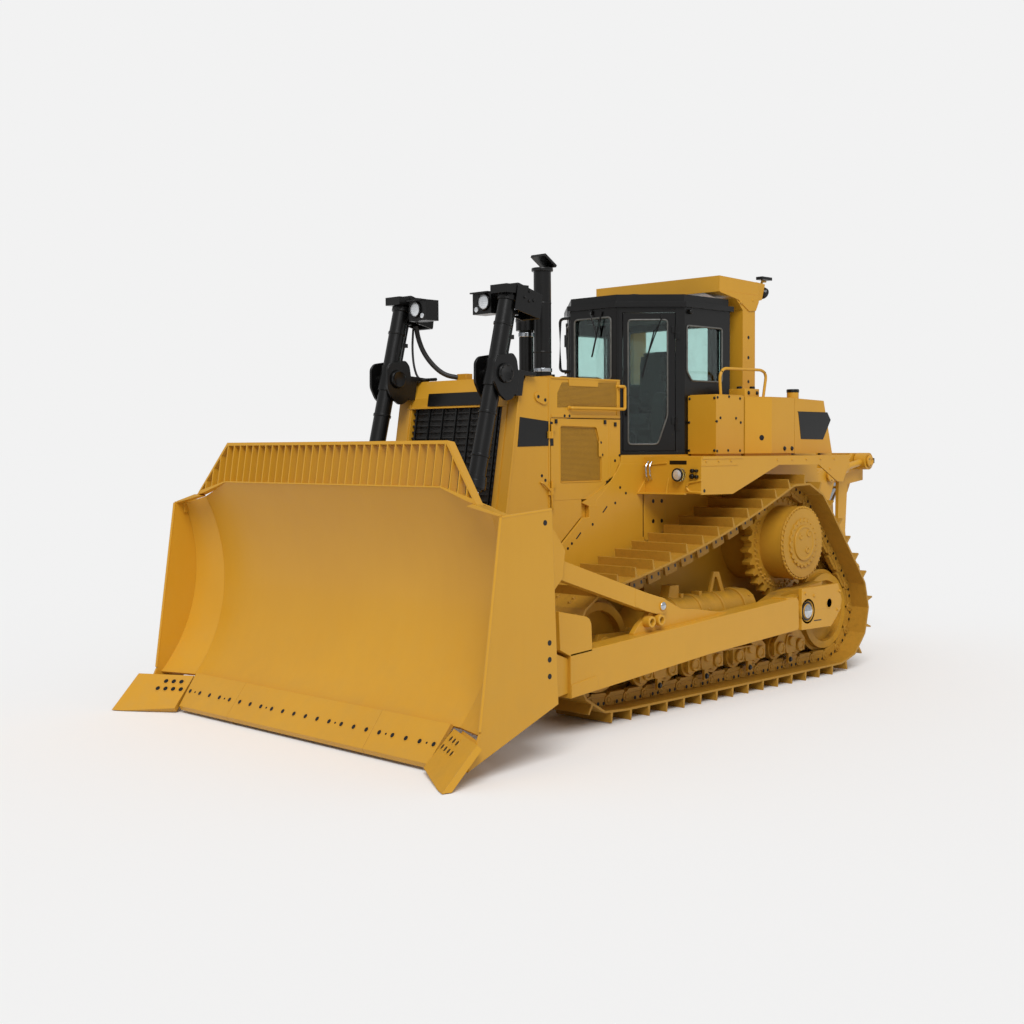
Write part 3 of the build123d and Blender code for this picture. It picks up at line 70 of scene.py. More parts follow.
class Value:
    """A socket in a material. Its operators add Math nodes to the same material."""

    def __init__(self, finish, socket):
        self.finish = finish
        self.socket = socket

    def maths(self, operation, *others):
        sockets = {0: self}
        sockets.update({place + 1: other for place, other in enumerate(others)})
        return self.finish.node("ShaderNodeMath", {"operation": operation}, sockets)

    def __add__(self, other):
        return self.maths("ADD", other)

    def __mul__(self, other):
        return self.maths("MULTIPLY", other)

    def __sub__(self, other):
        return self.maths("SUBTRACT", other)

    def __rsub__(self, other):
        return self.maths("MULTIPLY", -1.0).maths("ADD", other)

    def __truediv__(self, other):
        return self.maths("DIVIDE", other)

    def __gt__(self, other):
        return self.maths("GREATER_THAN", other)

    def __lt__(self, other):
        return self.maths("LESS_THAN", other)

    def wave(self):
        return self.maths("SINE")

    def fraction(self):
        return self.maths("FRACT")

    def clamped(self):
        return self.maths("MAXIMUM", 0.0).maths("MINIMUM", 1.0)


class Finish:
    """A material being made. node() adds any node: its type, its settings, then its sockets."""

    def __init__(self, name):
        self.material = bpy.data.materials.new(name)
        self.material.use_nodes = True
        self.tree = self.material.node_tree
        self.tree.nodes.clear()
        self.place = self.node("ShaderNodeTexCoord", {}, {}, "Object")

    def node(self, kind, settings, sockets, output=0):
        made = self.tree.nodes.new(kind)
        for name, value in settings.items():
            setattr(made, name, value)
        for name, value in sockets.items():
            if isinstance(value, Value):
                self.tree.links.new(value.socket, made.inputs[name])
            else:
                made.inputs[name].default_value = value
        return Value(self, made.outputs[output])

    def noise(self, scale, detail=3.0, roughness=0.55, stretch=None):
        place = self.place
        if stretch:
            place = self.node("ShaderNodeMapping", {}, {"Vector": place, "Scale": stretch})
        return self.node("ShaderNodeTexNoise", {}, {"Vector": place, "Scale": scale, "Detail": detail,
                                                    "Roughness": roughness}, "Fac")

    def parts(self, vector):
        apart = self.node("ShaderNodeSeparateXYZ", {}, {"Vector": vector}).socket.node
        return [Value(self, apart.outputs[place]) for place in range(3)]

    def axes(self):
        """The object's own coordinates, in metres."""
        return self.parts(self.place)

    def facing(self):
        """The three parts of the surface's own direction."""
        return self.parts(self.node("ShaderNodeNewGeometry", {}, {}, "Normal"))

    def ramp(self, value, low, high):
        """0 at low and 1 at high, straight between."""
        return self.node("ShaderNodeMapRange", {"clamp": True},
                         {"Value": value, "From Min": low, "From Max": high})

    def mixed(self, share, first, second):
        return self.node("ShaderNodeMix", {"data_type": "RGBA"}, {0: share, 6: first, 7: second}, 2)

    def punched(self, along, up, pitch, size):
        """1 inside the round holes of a punched sheet, every other row set over by half a hole."""
        row = up / (pitch * 0.866)
        odd = (row * 0.5).fraction() > 0.5
        across = (along / pitch + odd * 0.5).fraction() - 0.5
        rise = row.fraction() - 0.5
        return (across * across + rise * rise) < size

    def bump(self, height, distance, strength=1.0, normal=None):
        sockets = {"Height": height, "Distance": distance, "Strength": strength}
        if normal is not None:
            sockets["Normal"] = normal
        return self.node("ShaderNodeBump", {}, sockets)

    def soft_edges(self, radius):
        return self.node("ShaderNodeBevel", {"samples": 4}, {"Radius": radius})

    def close(self, **sockets):
        named = {name.replace("_", " "): value for name, value in sockets.items()}
        shader = self.node("ShaderNodeBsdfPrincipled", {}, named)
        out = self.tree.nodes.new("ShaderNodeOutputMaterial")
        self.tree.links.new(shader.socket, out.inputs["Surface"])
        return self.material


def rgb(red, green, blue):
    """A colour as it is seen on a screen, from 0 to 1, turned to light values."""
    def light(part):
        return part / 12.92 if part <= 0.04045 else ((part + 0.055) / 1.055) ** 2.4
    return (light(red), light(green), light(blue), 1.0)


# Finishes

def paint(name, colour, shade, dust_and_shade, dust_and_shade_share, roughness, coat, edge=0.004, shine=0.35):
    """Sprayed enamel: slow drift of tone, faint runs, and a dusty film low down and on level faces, which on
    the castings is dark: dirt and painted shade together.
    """
    made = Finish(name)
    height = made.axes()[2]
    drift = made.noise(0.9, 3.0, 0.5)
    cloud = made.noise(6.5, 5.0, 0.62)
    speck = made.noise(210.0, 2.0, 0.6)
    runs = made.noise(11.0, 3.0, 0.6, (1.0, 1.0, 0.12))
    tone = (drift - 0.5) * 1.5 + (cloud - 0.5) * 0.45 + (runs - 0.5) * 0.4 + 0.5
    body = made.mixed(tone.clamped(), shade, colour)
    low = 1.0 - made.ramp(height, 0.1, 1.7)
    level = made.ramp(made.facing()[2], 0.55, 0.98)
    film = ((low * 0.55 + level * 0.75) * made.ramp(cloud, 0.38, 0.72) * dust_and_shade_share).clamped()
    final = made.mixed(film, body, dust_and_shade)
    gloss = (film * 0.35 + (speck - 0.5) * 0.10 + (cloud - 0.5) * 0.16 + roughness).clamped()
    orange_peel = made.noise(340.0, 2.0, 0.5)
    edges = made.soft_edges(edge)
    skin = made.bump(orange_peel * 0.6 + cloud * 1.6, 0.0008, 0.35, edges)
    return made.close(Base_Color=final, Roughness=gloss, Metallic=0.0, Coat_Weight=coat,
                         Coat_Roughness=0.16, Specular_IOR_Level=shine, Normal=skin)


def bare_steel(name, colour, shade, rust, roughness, metal):
    """Worked steel of shoes and links: paint left in the hollows, polish on the wearing faces."""
    made = Finish(name)
    cloud = made.noise(14.0, 6.0, 0.65)
    grain = made.noise(95.0, 5.0, 0.7)
    scratch = made.noise(60.0, 4.0, 0.6, (1.0, 0.08, 1.0))
    tone = ((cloud - 0.5) * 1.6 + (grain - 0.5) * 0.7 + 0.5).clamped()
    body = made.mixed(tone, shade, colour)
    stain = made.ramp(cloud * 0.6 + grain * 0.4, 0.52, 0.66) * 0.5
    final = made.mixed(stain, body, rust)
    gloss = ((grain - 0.5) * 0.3 + (scratch - 0.5) * 0.2 + stain * 0.2 + roughness).clamped()
    edges = made.soft_edges(0.005)
    skin = made.bump(grain * 0.7 + cloud * 1.5, 0.0022, 0.5, edges)
    return made.close(Base_Color=final, Roughness=gloss, Metallic=metal, Specular_IOR_Level=0.3, Normal=skin)


def chrome(name):
    """Ground and plated rod: fine rings round the rod and a thin oil film."""
    made = Finish(name)
    grain = made.noise(420.0, 3.0, 0.6)
    film = made.noise(24.0, 4.0, 0.6)
    tone = made.mixed(made.ramp(film, 0.35, 0.7), rgb(0.83, 0.84, 0.85), rgb(0.72, 0.74, 0.77))
    gloss = ((film - 0.5) * 0.12 + (grain - 0.5) * 0.08 + 0.16).clamped()
    skin = made.bump(grain, 0.0002, 0.25)
    return made.close(Base_Color=tone, Roughness=gloss, Metallic=1.0, Normal=skin)


def tinted_glass(name):
    """Safety glass with a pale green tint and a trace of dust."""
    made = Finish(name)
    film = made.noise(9.0, 4.0, 0.6)
    tone = made.mixed(made.ramp(film, 0.4, 0.75) * 0.35, rgb(0.83, 0.925, 0.908), rgb(0.77, 0.85, 0.83))
    gloss = (made.ramp(film, 0.45, 0.8) * 0.08 + 0.03).clamped()
    return made.close(Base_Color=tone, Roughness=gloss, Transmission_Weight=1.0, IOR=1.45)


def rubber(name, colour, sheen):
    """Black hose rubber with a woven cover's faint rings."""
    made = Finish(name)
    cloud = made.noise(30.0, 4.0, 0.6)
    grain = made.noise(260.0, 3.0, 0.6)
    tone = made.mixed(cloud, colour, rgb(0.16, 0.155, 0.15))
    gloss = ((cloud - 0.5) * 0.2 + (grain - 0.5) * 0.12 + sheen).clamped()
    skin = made.bump(grain, 0.0006, 0.4)
    return made.close(Base_Color=tone, Roughness=gloss, Normal=skin)


def cover_cloth(name):
    """Woven seat cover: two crossing sets of threads."""
    made = Finish(name)
    x, y, z = made.axes()
    warp = ((x + y * 0.3) * 2600.0).wave() * 0.5 + 0.5
    weft = ((z + y * 0.7) * 2600.0).wave() * 0.5 + 0.5
    weave = warp * weft
    cloud = made.noise(26.0, 4.0, 0.6)
    tone = made.mixed((weave * 0.5 + cloud * 0.4).clamped(), rgb(0.12, 0.12, 0.13), rgb(0.24, 0.24, 0.25))
    skin = made.bump(weave, 0.0012, 0.6)
    return made.close(Base_Color=tone, Roughness=(weave * 0.1 + 0.75).clamped(), Normal=skin)


def lens(name):
    """Moulded lamp lens with fine upright flutes."""
    made = Finish(name)
    x, z = made.axes()[::2]
    flutes = (x * 420.0).wave() * 0.5 + 0.5
    cells = (z * 420.0).wave() * 0.5 + 0.5
    grain = made.noise(60.0, 3.0, 0.5)
    tone = made.mixed(grain, rgb(0.93, 0.94, 0.95), rgb(0.80, 0.82, 0.84))
    skin = made.bump(flutes * 0.6 + cells * 0.4, 0.002, 0.7)
    return made.close(Base_Color=tone, Roughness=((grain - 0.5) * 0.1 + 0.12).clamped(), Metallic=0.55,
                      Coat_Weight=1.0, Coat_Roughness=0.03, Normal=skin)


def grille_mesh(name):
    """Punched dark sheet: rows of round holes, every other row set over by half a hole, painted near black as
    the shade seen through them.
    """
    made = Finish(name)
    x, y, z = made.axes()
    hole = made.punched(x + y, z, 0.018, 0.10)
    tone = made.mixed(hole, rgb(0.15, 0.145, 0.14), rgb(0.03, 0.03, 0.03))
    cloud = made.noise(20.0, 4.0, 0.6)
    skin = made.bump(1.0 - hole, 0.004, 1.0)
    return made.close(Base_Color=tone, Roughness=((cloud - 0.5) * 0.2 + 0.5).clamped(), Normal=skin)


def punched_panel(name):
    """Painted sheet with fine round holes in rows, through which it is dark: the holes are painted dark brown
    as the shade behind the sheet.
    """
    made = Finish(name)
    y, z = made.axes()[1:]
    hole = made.punched(y, z, 0.012, 0.085)
    cloud = made.noise(9.0, 4.0, 0.6)
    sheet = made.mixed(cloud, rgb(0.74, 0.54, 0.14), rgb(0.66, 0.48, 0.13))
    tone = made.mixed(hole, sheet, rgb(0.10, 0.075, 0.03))
    skin = made.bump(1.0 - hole, 0.003, 0.8)
    return made.close(Base_Color=tone, Roughness=((cloud - 0.5) * 0.2 + 0.5).clamped(),
                      Specular_IOR_Level=0.3,
                      Normal=skin)


YELLOW = paint("yellow_enamel", rgb(0.82, 0.605, 0.16), rgb(0.785, 0.57, 0.145), rgb(0.68, 0.54, 0.28),
               0.35, 0.40, 0.10)
# The castings' dark brown film low down and on level faces is dirt and painted shade of the running gear
# together
YELLOW_CAST = paint("yellow_castings", rgb(0.80, 0.59, 0.16), rgb(0.70, 0.51, 0.14), rgb(0.38, 0.28, 0.13),
                    0.7, 0.48, 0.05)
BLACK = paint("black_enamel", rgb(0.055, 0.054, 0.053), rgb(0.040, 0.039, 0.038), rgb(0.16, 0.15, 0.13),
              0.12, 0.32, 0.18, shine=0.28)
SHOE = bare_steel("track_shoes", rgb(0.76, 0.56, 0.18), rgb(0.62, 0.455, 0.15), rgb(0.50, 0.37, 0.16), 0.46,
                  0.05)
CHROME = chrome("rod_chrome")
GLASS = tinted_glass("tinted_glass")
CLOTH = cover_cloth("seat_cover")
LENS = lens("lamp_lens")
MESH = grille_mesh("punched_sheet")
PUNCHED = punched_panel("painted_screen")
# The window rubber's mid grey is painted sheen: the light line along the rounded beads
SHEEN_BEAD = rubber("window_rubber_sheen", rgb(0.48, 0.48, 0.46), 0.4)
TRIM = rubber("cab_trim", rgb(0.13, 0.13, 0.125), 0.6)
HOSE = rubber("hose_rubber", rgb(0.11, 0.11, 0.11), 0.55)

SLOT_FINISH = {"yellow_paint": YELLOW, "black_paint": BLACK, "track_steel": SHOE, "rod_chrome": CHROME,
               "tinted_glass": GLASS, "seat_cover": CLOTH, "dark_mesh": MESH}
CAST_NODES = ("rollers", "idlers", "final_drives", "track_frame_left", "track_frame_right", "equalizer_bar")


def dress_nodes():
    """Every solid takes the finish of its own slot; castings of the running gear take the duller yellow,
    whose dark film low down is dirt and painted shade.
    """
    for name, node in NODES.items():
        for place, old in enumerate(node.data.materials):
            slot = old.name.split(".")[0] if old else "yellow_paint"
            finish = SLOT_FINISH.get(slot, YELLOW)
            if name in CAST_NODES:
                finish = YELLOW_CAST
            node.data.materials[place] = finish


dress_nodes()


# Shapes worked out as whole arrays. All places are measured in millimetres: x to the machine's left,
# y rearwards, z up, as in the solids' own source.

X, Y, Z = np.eye(3)


def stored(points):
    """Measured millimetres as metres in the stored frame."""
    return np.asarray(points) / 1000.0 + [0.0, SHIFT, 0.0]


def unit(rows):
    rows = np.asarray(rows, float)
    return rows / np.linalg.norm(rows, axis=-1, keepdims=True)


class Mould:
    """Gathers grids of points, in millimetres, into the mesh of one piece."""

    def __init__(self):
        self.points = []
        self.faces = []
        self.count = 0

    def grids(self, points, closed=True):
        """Copies x rows x columns of points: each copy's grid becomes four-sided faces."""
        copies, rows, columns = points.shape[:3]
        index = self.count + np.arange(copies * rows * columns).reshape(copies, rows, columns)
        if closed:
            index = np.concatenate([index, index[:, :, :1]], 2)
        corners = [index[:, :-1, :-1], index[:, :-1, 1:], index[:, 1:, 1:], index[:, 1:, :-1]]
        self.points.append(points.reshape(-1, 3))
        self.faces += np.stack(corners, -1).reshape(-1, 4).tolist()
        self.count += copies * rows * columns

    def turned(self, profile, places, axes, sides=24, turn=0.0):
        """Copies of a turned shape: place + axis * along + radius * (first * cos t + second * sin t)."""
        places = np.atleast_2d(np.asarray(places, float))
        axes = np.broadcast_to(unit(np.atleast_2d(axes)), places.shape)
        helper = np.where(np.abs(axes[:, 2:]) < 0.9, [[0.0, 0.0, 1.0]], [[1.0, 0.0, 0.0]])
        first = unit(np.cross(helper, axes))
        second = np.cross(axes, first)
        along, radius = np.asarray(profile, float).T
        t = turn + np.arange(sides) * 2 * math.pi / sides
        ring = first[:, None] * np.cos(t)[None, :, None] + second[:, None] * np.sin(t)[None, :, None]
        points = (places[:, None, None] + axes[:, None, None] * along[None, :, None, None]
                  + ring[:, None] * radius[None, :, None, None])
        self.grids(points)
        return self

    def tube(self, path, radius, sides=10, flat=(0.0, 0.0, 1.0)):
        """Round bar along a path: each ring lies square to the path, turned to one flat direction."""
        path = np.asarray(path, float)
        ahead = unit(np.gradient(path, axis=0))
        first = unit(np.cross(ahead, flat))
        second = np.cross(first, ahead)
        t = np.arange(sides) * 2 * math.pi / sides
        radii = np.full(len(path), float(radius))
        ends = np.concatenate([[0], np.arange(len(path)), [len(path) - 1]])
        radii = np.concatenate([[0.0], radii, [0.0]])
        ring = first[ends, None] * np.cos(t)[None, :, None] - second[ends, None] * np.sin(t)[None, :, None]
        self.grids((path[ends, None] + ring * radii[:, None, None])[None])
        return self

    def plate(self, outline, origin, across, up, low, high):
        """Flat piece: outline (u, v) is origin + across * u + up * v, between two depths square to it."""
        outline = np.asarray(outline, float)
        after = np.roll(outline, -1, 0)
        if np.sum(outline[:, 0] * after[:, 1] - outline[:, 1] * after[:, 0]) < 0:
            outline = outline[::-1]
        across, up = unit(across), unit(up)
        out = np.cross(across, up)
        flat = np.asarray(origin, float) + outline[:, :1] * across + outline[:, 1:] * up
        both = np.stack([flat + out * low, flat + out * high])
        start, n = self.count, len(outline)
        self.grids(both[None])
        self.faces.append([start + k for k in range(n)][::-1])
        self.faces.append([start + n + k for k in range(n)])
        return self

    def mirrored(self):
        """Adds the same points on the machine's right side, with the faces turned back outwards."""
        points = np.concatenate(self.points) * [-1.0, 1.0, 1.0]
        self.faces += [[corner + self.count for corner in face][::-1] for face in self.faces]
        self.points.append(points)
        self.count *= 2
        return self

    def swapped(self):
        """Moves everything to the machine's other side."""
        self.points = [points * [-1.0, 1.0, 1.0] for points in self.points]
        self.faces = [face[::-1] for face in self.faces]
        return self

    def side(self, outline, low, high):
        """Plate square to x: outline is (station, height)."""
        return self.plate(outline, (0, 0, 0), Y, Z, low, high)

    def front(self, outline, y, low, high):
        """Plate square to y: outline is (x, height), its depths are counted forwards from y."""
        return self.plate(outline, (0, y, 0), X, Z, low, high)

    def top(self, outline, z, low, high):
        """Plate square to z: outline is (x, station)."""
        return self.plate(outline, (0, 0, z), X, Y, low, high)

    def made(self, name, finish, bevel=0, body="chassis", sharp=35.0):
        """The finished piece: metres in the stored frame, poles closed, riding on its body."""
        mesh = bpy.data.meshes.new(name)
        mesh.from_pydata(stored(np.concatenate(self.points)).tolist(), [], self.faces)
        mesh.validate()
        shape = bmesh.new()
        shape.from_mesh(mesh)
        bmesh.ops.remove_doubles(shape, verts=shape.verts, dist=0.00002)
        shape.to_mesh(mesh)
        shape.free()
        mesh.shade_smooth()
        mesh.set_sharp_from_angle(angle=math.radians(sharp))
        mesh.materials.append(finish)
        made = linked(name, mesh)
        if bevel:
            edge = made.modifiers.new("edge", "BEVEL")
            edge.width = bevel / 1000.0
            edge.segments = 2
            edge.limit_method = "ANGLE"
            edge.angle_limit = math.radians(40.0)
        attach(made, body)
        return made

    def pair(self, name, finish, bevel=0, body="chassis"):
        """The left piece and its mirror image on the right, each on the body of its own side."""
        pieces = []
        for word in ("left", "right"):
            pieces.append(self.made(name.format(word), finish, bevel, body.format(word)))
            self.swapped()
        return pieces


def bend(start, corner, end, steps):
    """Points on the curves from start to end that the corners between them pull outwards."""
    t = np.linspace(0.0, 1.0, steps)[None, :, None]
    curve = start[:, None] * (1 - t) ** 2 + corner[:, None] * 2 * t * (1 - t) + end[:, None] * t ** 2
    return curve.reshape(-1, start.shape[1])


def rounded(corners, radius, steps=5):
    """Path through corners, each corner cut by a curve that starts and ends at radius from it."""
    corners = np.asarray(corners, float)
    inner = corners[1:-1]
    start = inner - unit(inner - corners[:-2]) * radius
    end = inner + unit(corners[2:] - inner) * radius
    return np.concatenate([corners[:1], bend(start, inner, end, steps), corners[-1:]])


def smooth_corners(outline, radius, steps=4):
    """Closed outline of (u, v) corners with each corner rounded."""
    outline = np.asarray(outline, float)
    before, after = np.roll(outline, 1, 0), np.roll(outline, -1, 0)
    start = outline - unit(outline - before) * radius
    end = outline + unit(after - outline) * radius
    return bend(start, outline, end, steps)


def hex_bolts(name, places, axes, size, finish, body="chassis", both=True):
    """Hexagon heads on washers: size is half the width of the head."""
    mould = Mould()
    washer = [(-1.0, 0.0), (-1.0, 1.5), (0.16, 1.5), (0.26, 1.4), (0.26, 0.0)]
    head = [(0.1, 0.0), (0.1, 1.1), (0.78, 1.1), (0.92, 0.92), (0.92, 0.0)]
    mould.turned(np.array(washer) * size, places, axes, 14)
    mould.turned(np.array(head) * size, places, axes, 6)
    if both:
        mould.mirrored()
    return mould.made(name, finish, 0, body)


def holes(name, places, axes, size, depth=1, body="chassis", both=True):
    """Dark bores with a raised rim: a black disc that stands a hair proud of the plate is the painted shade
    inside the bore.
    """
    mould = Mould()
    disc = [(-2.0, 0.0), (-2.0, size), (depth, size), (depth + 0.4, size * 0.82), (depth - 0.6, size * 0.76),
            (depth - 0.6, 0.0)]
    mould.turned(disc, places, axes, 16)
    if both:
        mould.mirrored()
    return mould.made(name, BLACK, 0, body)


# Places that many pieces share, in millimetres

HULL_X = 746.5
GUARD_X = 740.0
ARM_X = 1640.0
TRACK_X = 1125.0
LIFT_X = 666.0
DECK_X = 1390.0
BOX_X = 1075.0
TANK_X = 1180.0
CANOPY_X = 783.0
FENDER_Y = -2396.0
CAB_Y = -2250.0
STACK_Y = -3050.0
ROLLER_Z = 331.0
ROLLER_STEP = 335.714
GUARD_LEAN = 0.165
DIAGONAL = 0.70711
DOOR_OUT = (DIAGONAL, -DIAGONAL, 0.0)

# (station, height) of the push arms' trunnions, the sprockets, the lift cylinders' yokes and the idlers
PIVOT = (-1078.0, 716.0)
HUB = (-837.0, 1335.0)
YOKE = (-4225.0, 2870.0)
IDLERS = ((-135.0, 606.0), (-3605.0, 606.0))


def on_side(x, spots):
    """Places on a plane square to x from (station, height) spots."""
    return [(x, station, height) for station, height in spots]


def on_door(along, height, out=0.0):
    """Place on the left cab door's face: how far along it, how high and how far in front of it."""
    return (290.0 + DIAGONAL * (along + out), CAB_Y + DIAGONAL * (along - out), height)


def on_ring(x, centre, radius, count, turn=0.0):
    """Evenly spaced places on a circle in a plane square to x."""
    t = turn + np.arange(count) * 2 * math.pi / count
    return np.stack([np.full(count, x), centre[0] + radius * np.cos(t), centre[1] + radius * np.sin(t)], -1)


def side_shape(name, outline, x_from, x_to, finish, bevel=1.5):
    """Plate square to x on both sides of the machine."""
    return Mould().side(outline, x_from, x_to).mirrored().made(name, finish, bevel)


def box(left, low, right, high):
    """Four corners of a rectangle as an outline."""
    return [(left, low), (right, low), (right, high), (left, high)]


def rod(start, end, radius):
    """Profile of a plain round bar."""
    return [(start, 0), (start, radius), (end, radius), (end, 0)]


def button(start, radius, shoulder, end, crown):
    """Profile of a round head: straight up to its shoulder, then drawn in to its crown."""
    return [(start, 0), (start, radius), (shoulder, radius), (end, crown), (end, 0)]


def arc_points(centre, radius, start, end, count):
    """(station, height) points on a circle between two angles in degrees."""
    t = np.radians(np.linspace(start, end, count))
    return np.stack([centre[0] + radius * np.cos(t), centre[1] + radius * np.sin(t)], -1).tolist()


def closed_tube(mould, outline, radius, place):
    """Round bead along a closed outline, whose points place() puts in space."""
    path = np.array([place(u, v) for u, v in np.concatenate([outline, outline[:2]])])
    return mould.tube(path, radius, 8, flat=(0.30, 0.17, 0.94))


# Tracks: bolts on the shoes, pins, and the links' windows with their painted shade

WHEELS = ((*IDLERS[0], 455.0), (*HUB, 516.0), (*IDLERS[1], 455.0))
TOP_SAG = 82.0
SHOES = 43


def chain_pins():
    """Pin centres of a chain: turns round three wheels and straight runs, the top one sagging."""
    turns = []
    for (ay, az, ar), (by, bz, br) in zip(WHEELS, WHEELS[1:] + WHEELS[:1]):
        turns.append(math.atan2(bz - az, by - ay) - math.pi / 2 + math.asin((ar - br) / math.hypot(by - ay,
                                                                                                   bz - az)))
    runs = []
    for place, (y, z, radius) in enumerate(WHEELS):
        arrive, leave = turns[place - 1], turns[place]
        while leave < arrive:
            leave += 2 * math.pi
        out = np.array([math.cos(leave), math.sin(leave)])
        start = np.array([y, z]) + radius * out
        after = WHEELS[(place + 1) % 3]
        end = np.array(after[:2]) + after[2] * out
        sag = TOP_SAG if place == 1 else 0.0
        span = np.linalg.norm(end - start)
        runs.append((radius * (leave - arrive), (y, z, radius, arrive, leave)))
        runs.append((span * (1 + 8 / 3 * (sag / span) ** 2), (start, end, out, sag)))
    pitch = sum(length for length, shape in runs) / SHOES
    pins = []
    for k in range(SHOES):
        distance = pitch * k
        for length, shape in runs:
            if distance <= length:
                share = distance / length
                if len(shape) == 5:
                    y, z, radius, arrive, leave = shape
                    angle = arrive + (leave - arrive) * share
                    pins.append((y + radius * math.cos(angle), z + radius * math.sin(angle)))
                else:
                    start, end, out, sag = shape
                    pins.append(start + (end - start) * share - out * 4 * sag * share * (1 - share))
                break
            distance -= length
    return np.array(pins)


def dress_tracks():
    """Four bolts on each shoe, pin ends on both sides of each link, and black discs and plates in the links'
    windows, which are painted shade.
    """
    pins = chain_pins()
    run = unit(np.roll(pins, -1, 0) - pins)
    out = np.stack([run[:, 1], -run[:, 0]], -1)
    pitch = np.linalg.norm(np.roll(pins, -1, 0) - pins, axis=1)[:, None]
    bolts, axes = [], []
    for x in (TRACK_X - 87, TRACK_X + 87):
        for share in (0.56, 0.80):
            spot = pins + run * pitch * share + out * 67
            bolts.append(np.column_stack([np.full(SHOES, x), spot]))
            axes.append(np.column_stack([np.zeros(SHOES), out]))
    hex_bolts("shoe_bolts", np.concatenate(bolts), np.concatenate(axes), 15, SHOE)
    ends = Mould()
    boss = [(-2, 0), (-2, 46), (7, 46), (10, 43), (10, 27), (6, 25), (6, 21), (13, 19), (13, 0)]
    for x, axis in ((TRACK_X + 112, X), (TRACK_X - 112, -X), (TRACK_X + 62, -X), (TRACK_X - 62, X)):
        ends.turned(boss, np.column_stack([np.full(SHOES, x), pins]), axis, 20)
    ends.mirrored().made("link_pin_ends", SHOE)
    tabs = Mould()
    for share_from, share_to, low, high in ((0.14, 0.80, -26, 14), (0.34, 0.86, 14, 46)):
        for x_from, x_to in ((TRACK_X + 112, TRACK_X + 118), (TRACK_X - 118, TRACK_X - 112)):
            for pin, ahead, side, length in zip(pins, run, out, pitch[:, 0]):
                corners = [pin + ahead * length * share_from + side * low,
                           pin + ahead * length * share_to + side * low,
                           pin + ahead * length * (share_to - 0.04) + side * high,
                           pin + ahead * length * (share_from + 0.04) + side * high]
                tabs.side(corners, x_from, x_to)
    tabs.mirrored().made("link_faces", SHOE)
    high = [k for k in range(SHOES) if out[k, 1] > 0.9 and pins[k, 1] > 1050 and -3400 < pins[k, 0] < -1150]
    blocks, shade_dots = Mould(), Mould()
    for k in high:
        def spot_at(share, side):
            return pins[k] + run[k] * pitch[k] * share + out[k] * side
        corners = [spot_at(0.10, -108), spot_at(0.16, -116), spot_at(0.76, -116), spot_at(0.82, -108),
                   spot_at(0.82, -22), spot_at(0.10, -22)]
        for x_from, x_to in ((TRACK_X + 96, TRACK_X + 124), (TRACK_X - 124, TRACK_X - 96)):
            blocks.side(corners, x_from, x_to)
        # Black plates on the top run's link blocks: painted shade in their windows
        for share in (0.20, 0.60):
            shape = [spot_at(share - 0.05, -78), spot_at(share + 0.05, -78), spot_at(share + 0.05, -48),
                     spot_at(share - 0.05, -48)]
            shade_dots.side(shape, TRACK_X + 123, TRACK_X + 124.6)
    blocks.mirrored().made("top_link_blocks", SHOE, 2)
    shade_dots.mirrored().made("top_link_windows", BLACK)
    # Black discs on every link's faces: painted shade in the links' windows
    shade_slots = Mould()
    for share, size in ((0.46, 17), (0.76, 15)):
        spot = pins + run * pitch * share + out * 24
        for x, axis in ((TRACK_X + 118, X), (TRACK_X - 118, -X)):
            shade_slots.turned(rod(-2, 0.6, size), np.column_stack([np.full(SHOES, x), spot]), axis, 12)
    shade_slots.mirrored().made("link_windows", BLACK)


# Undercarriage

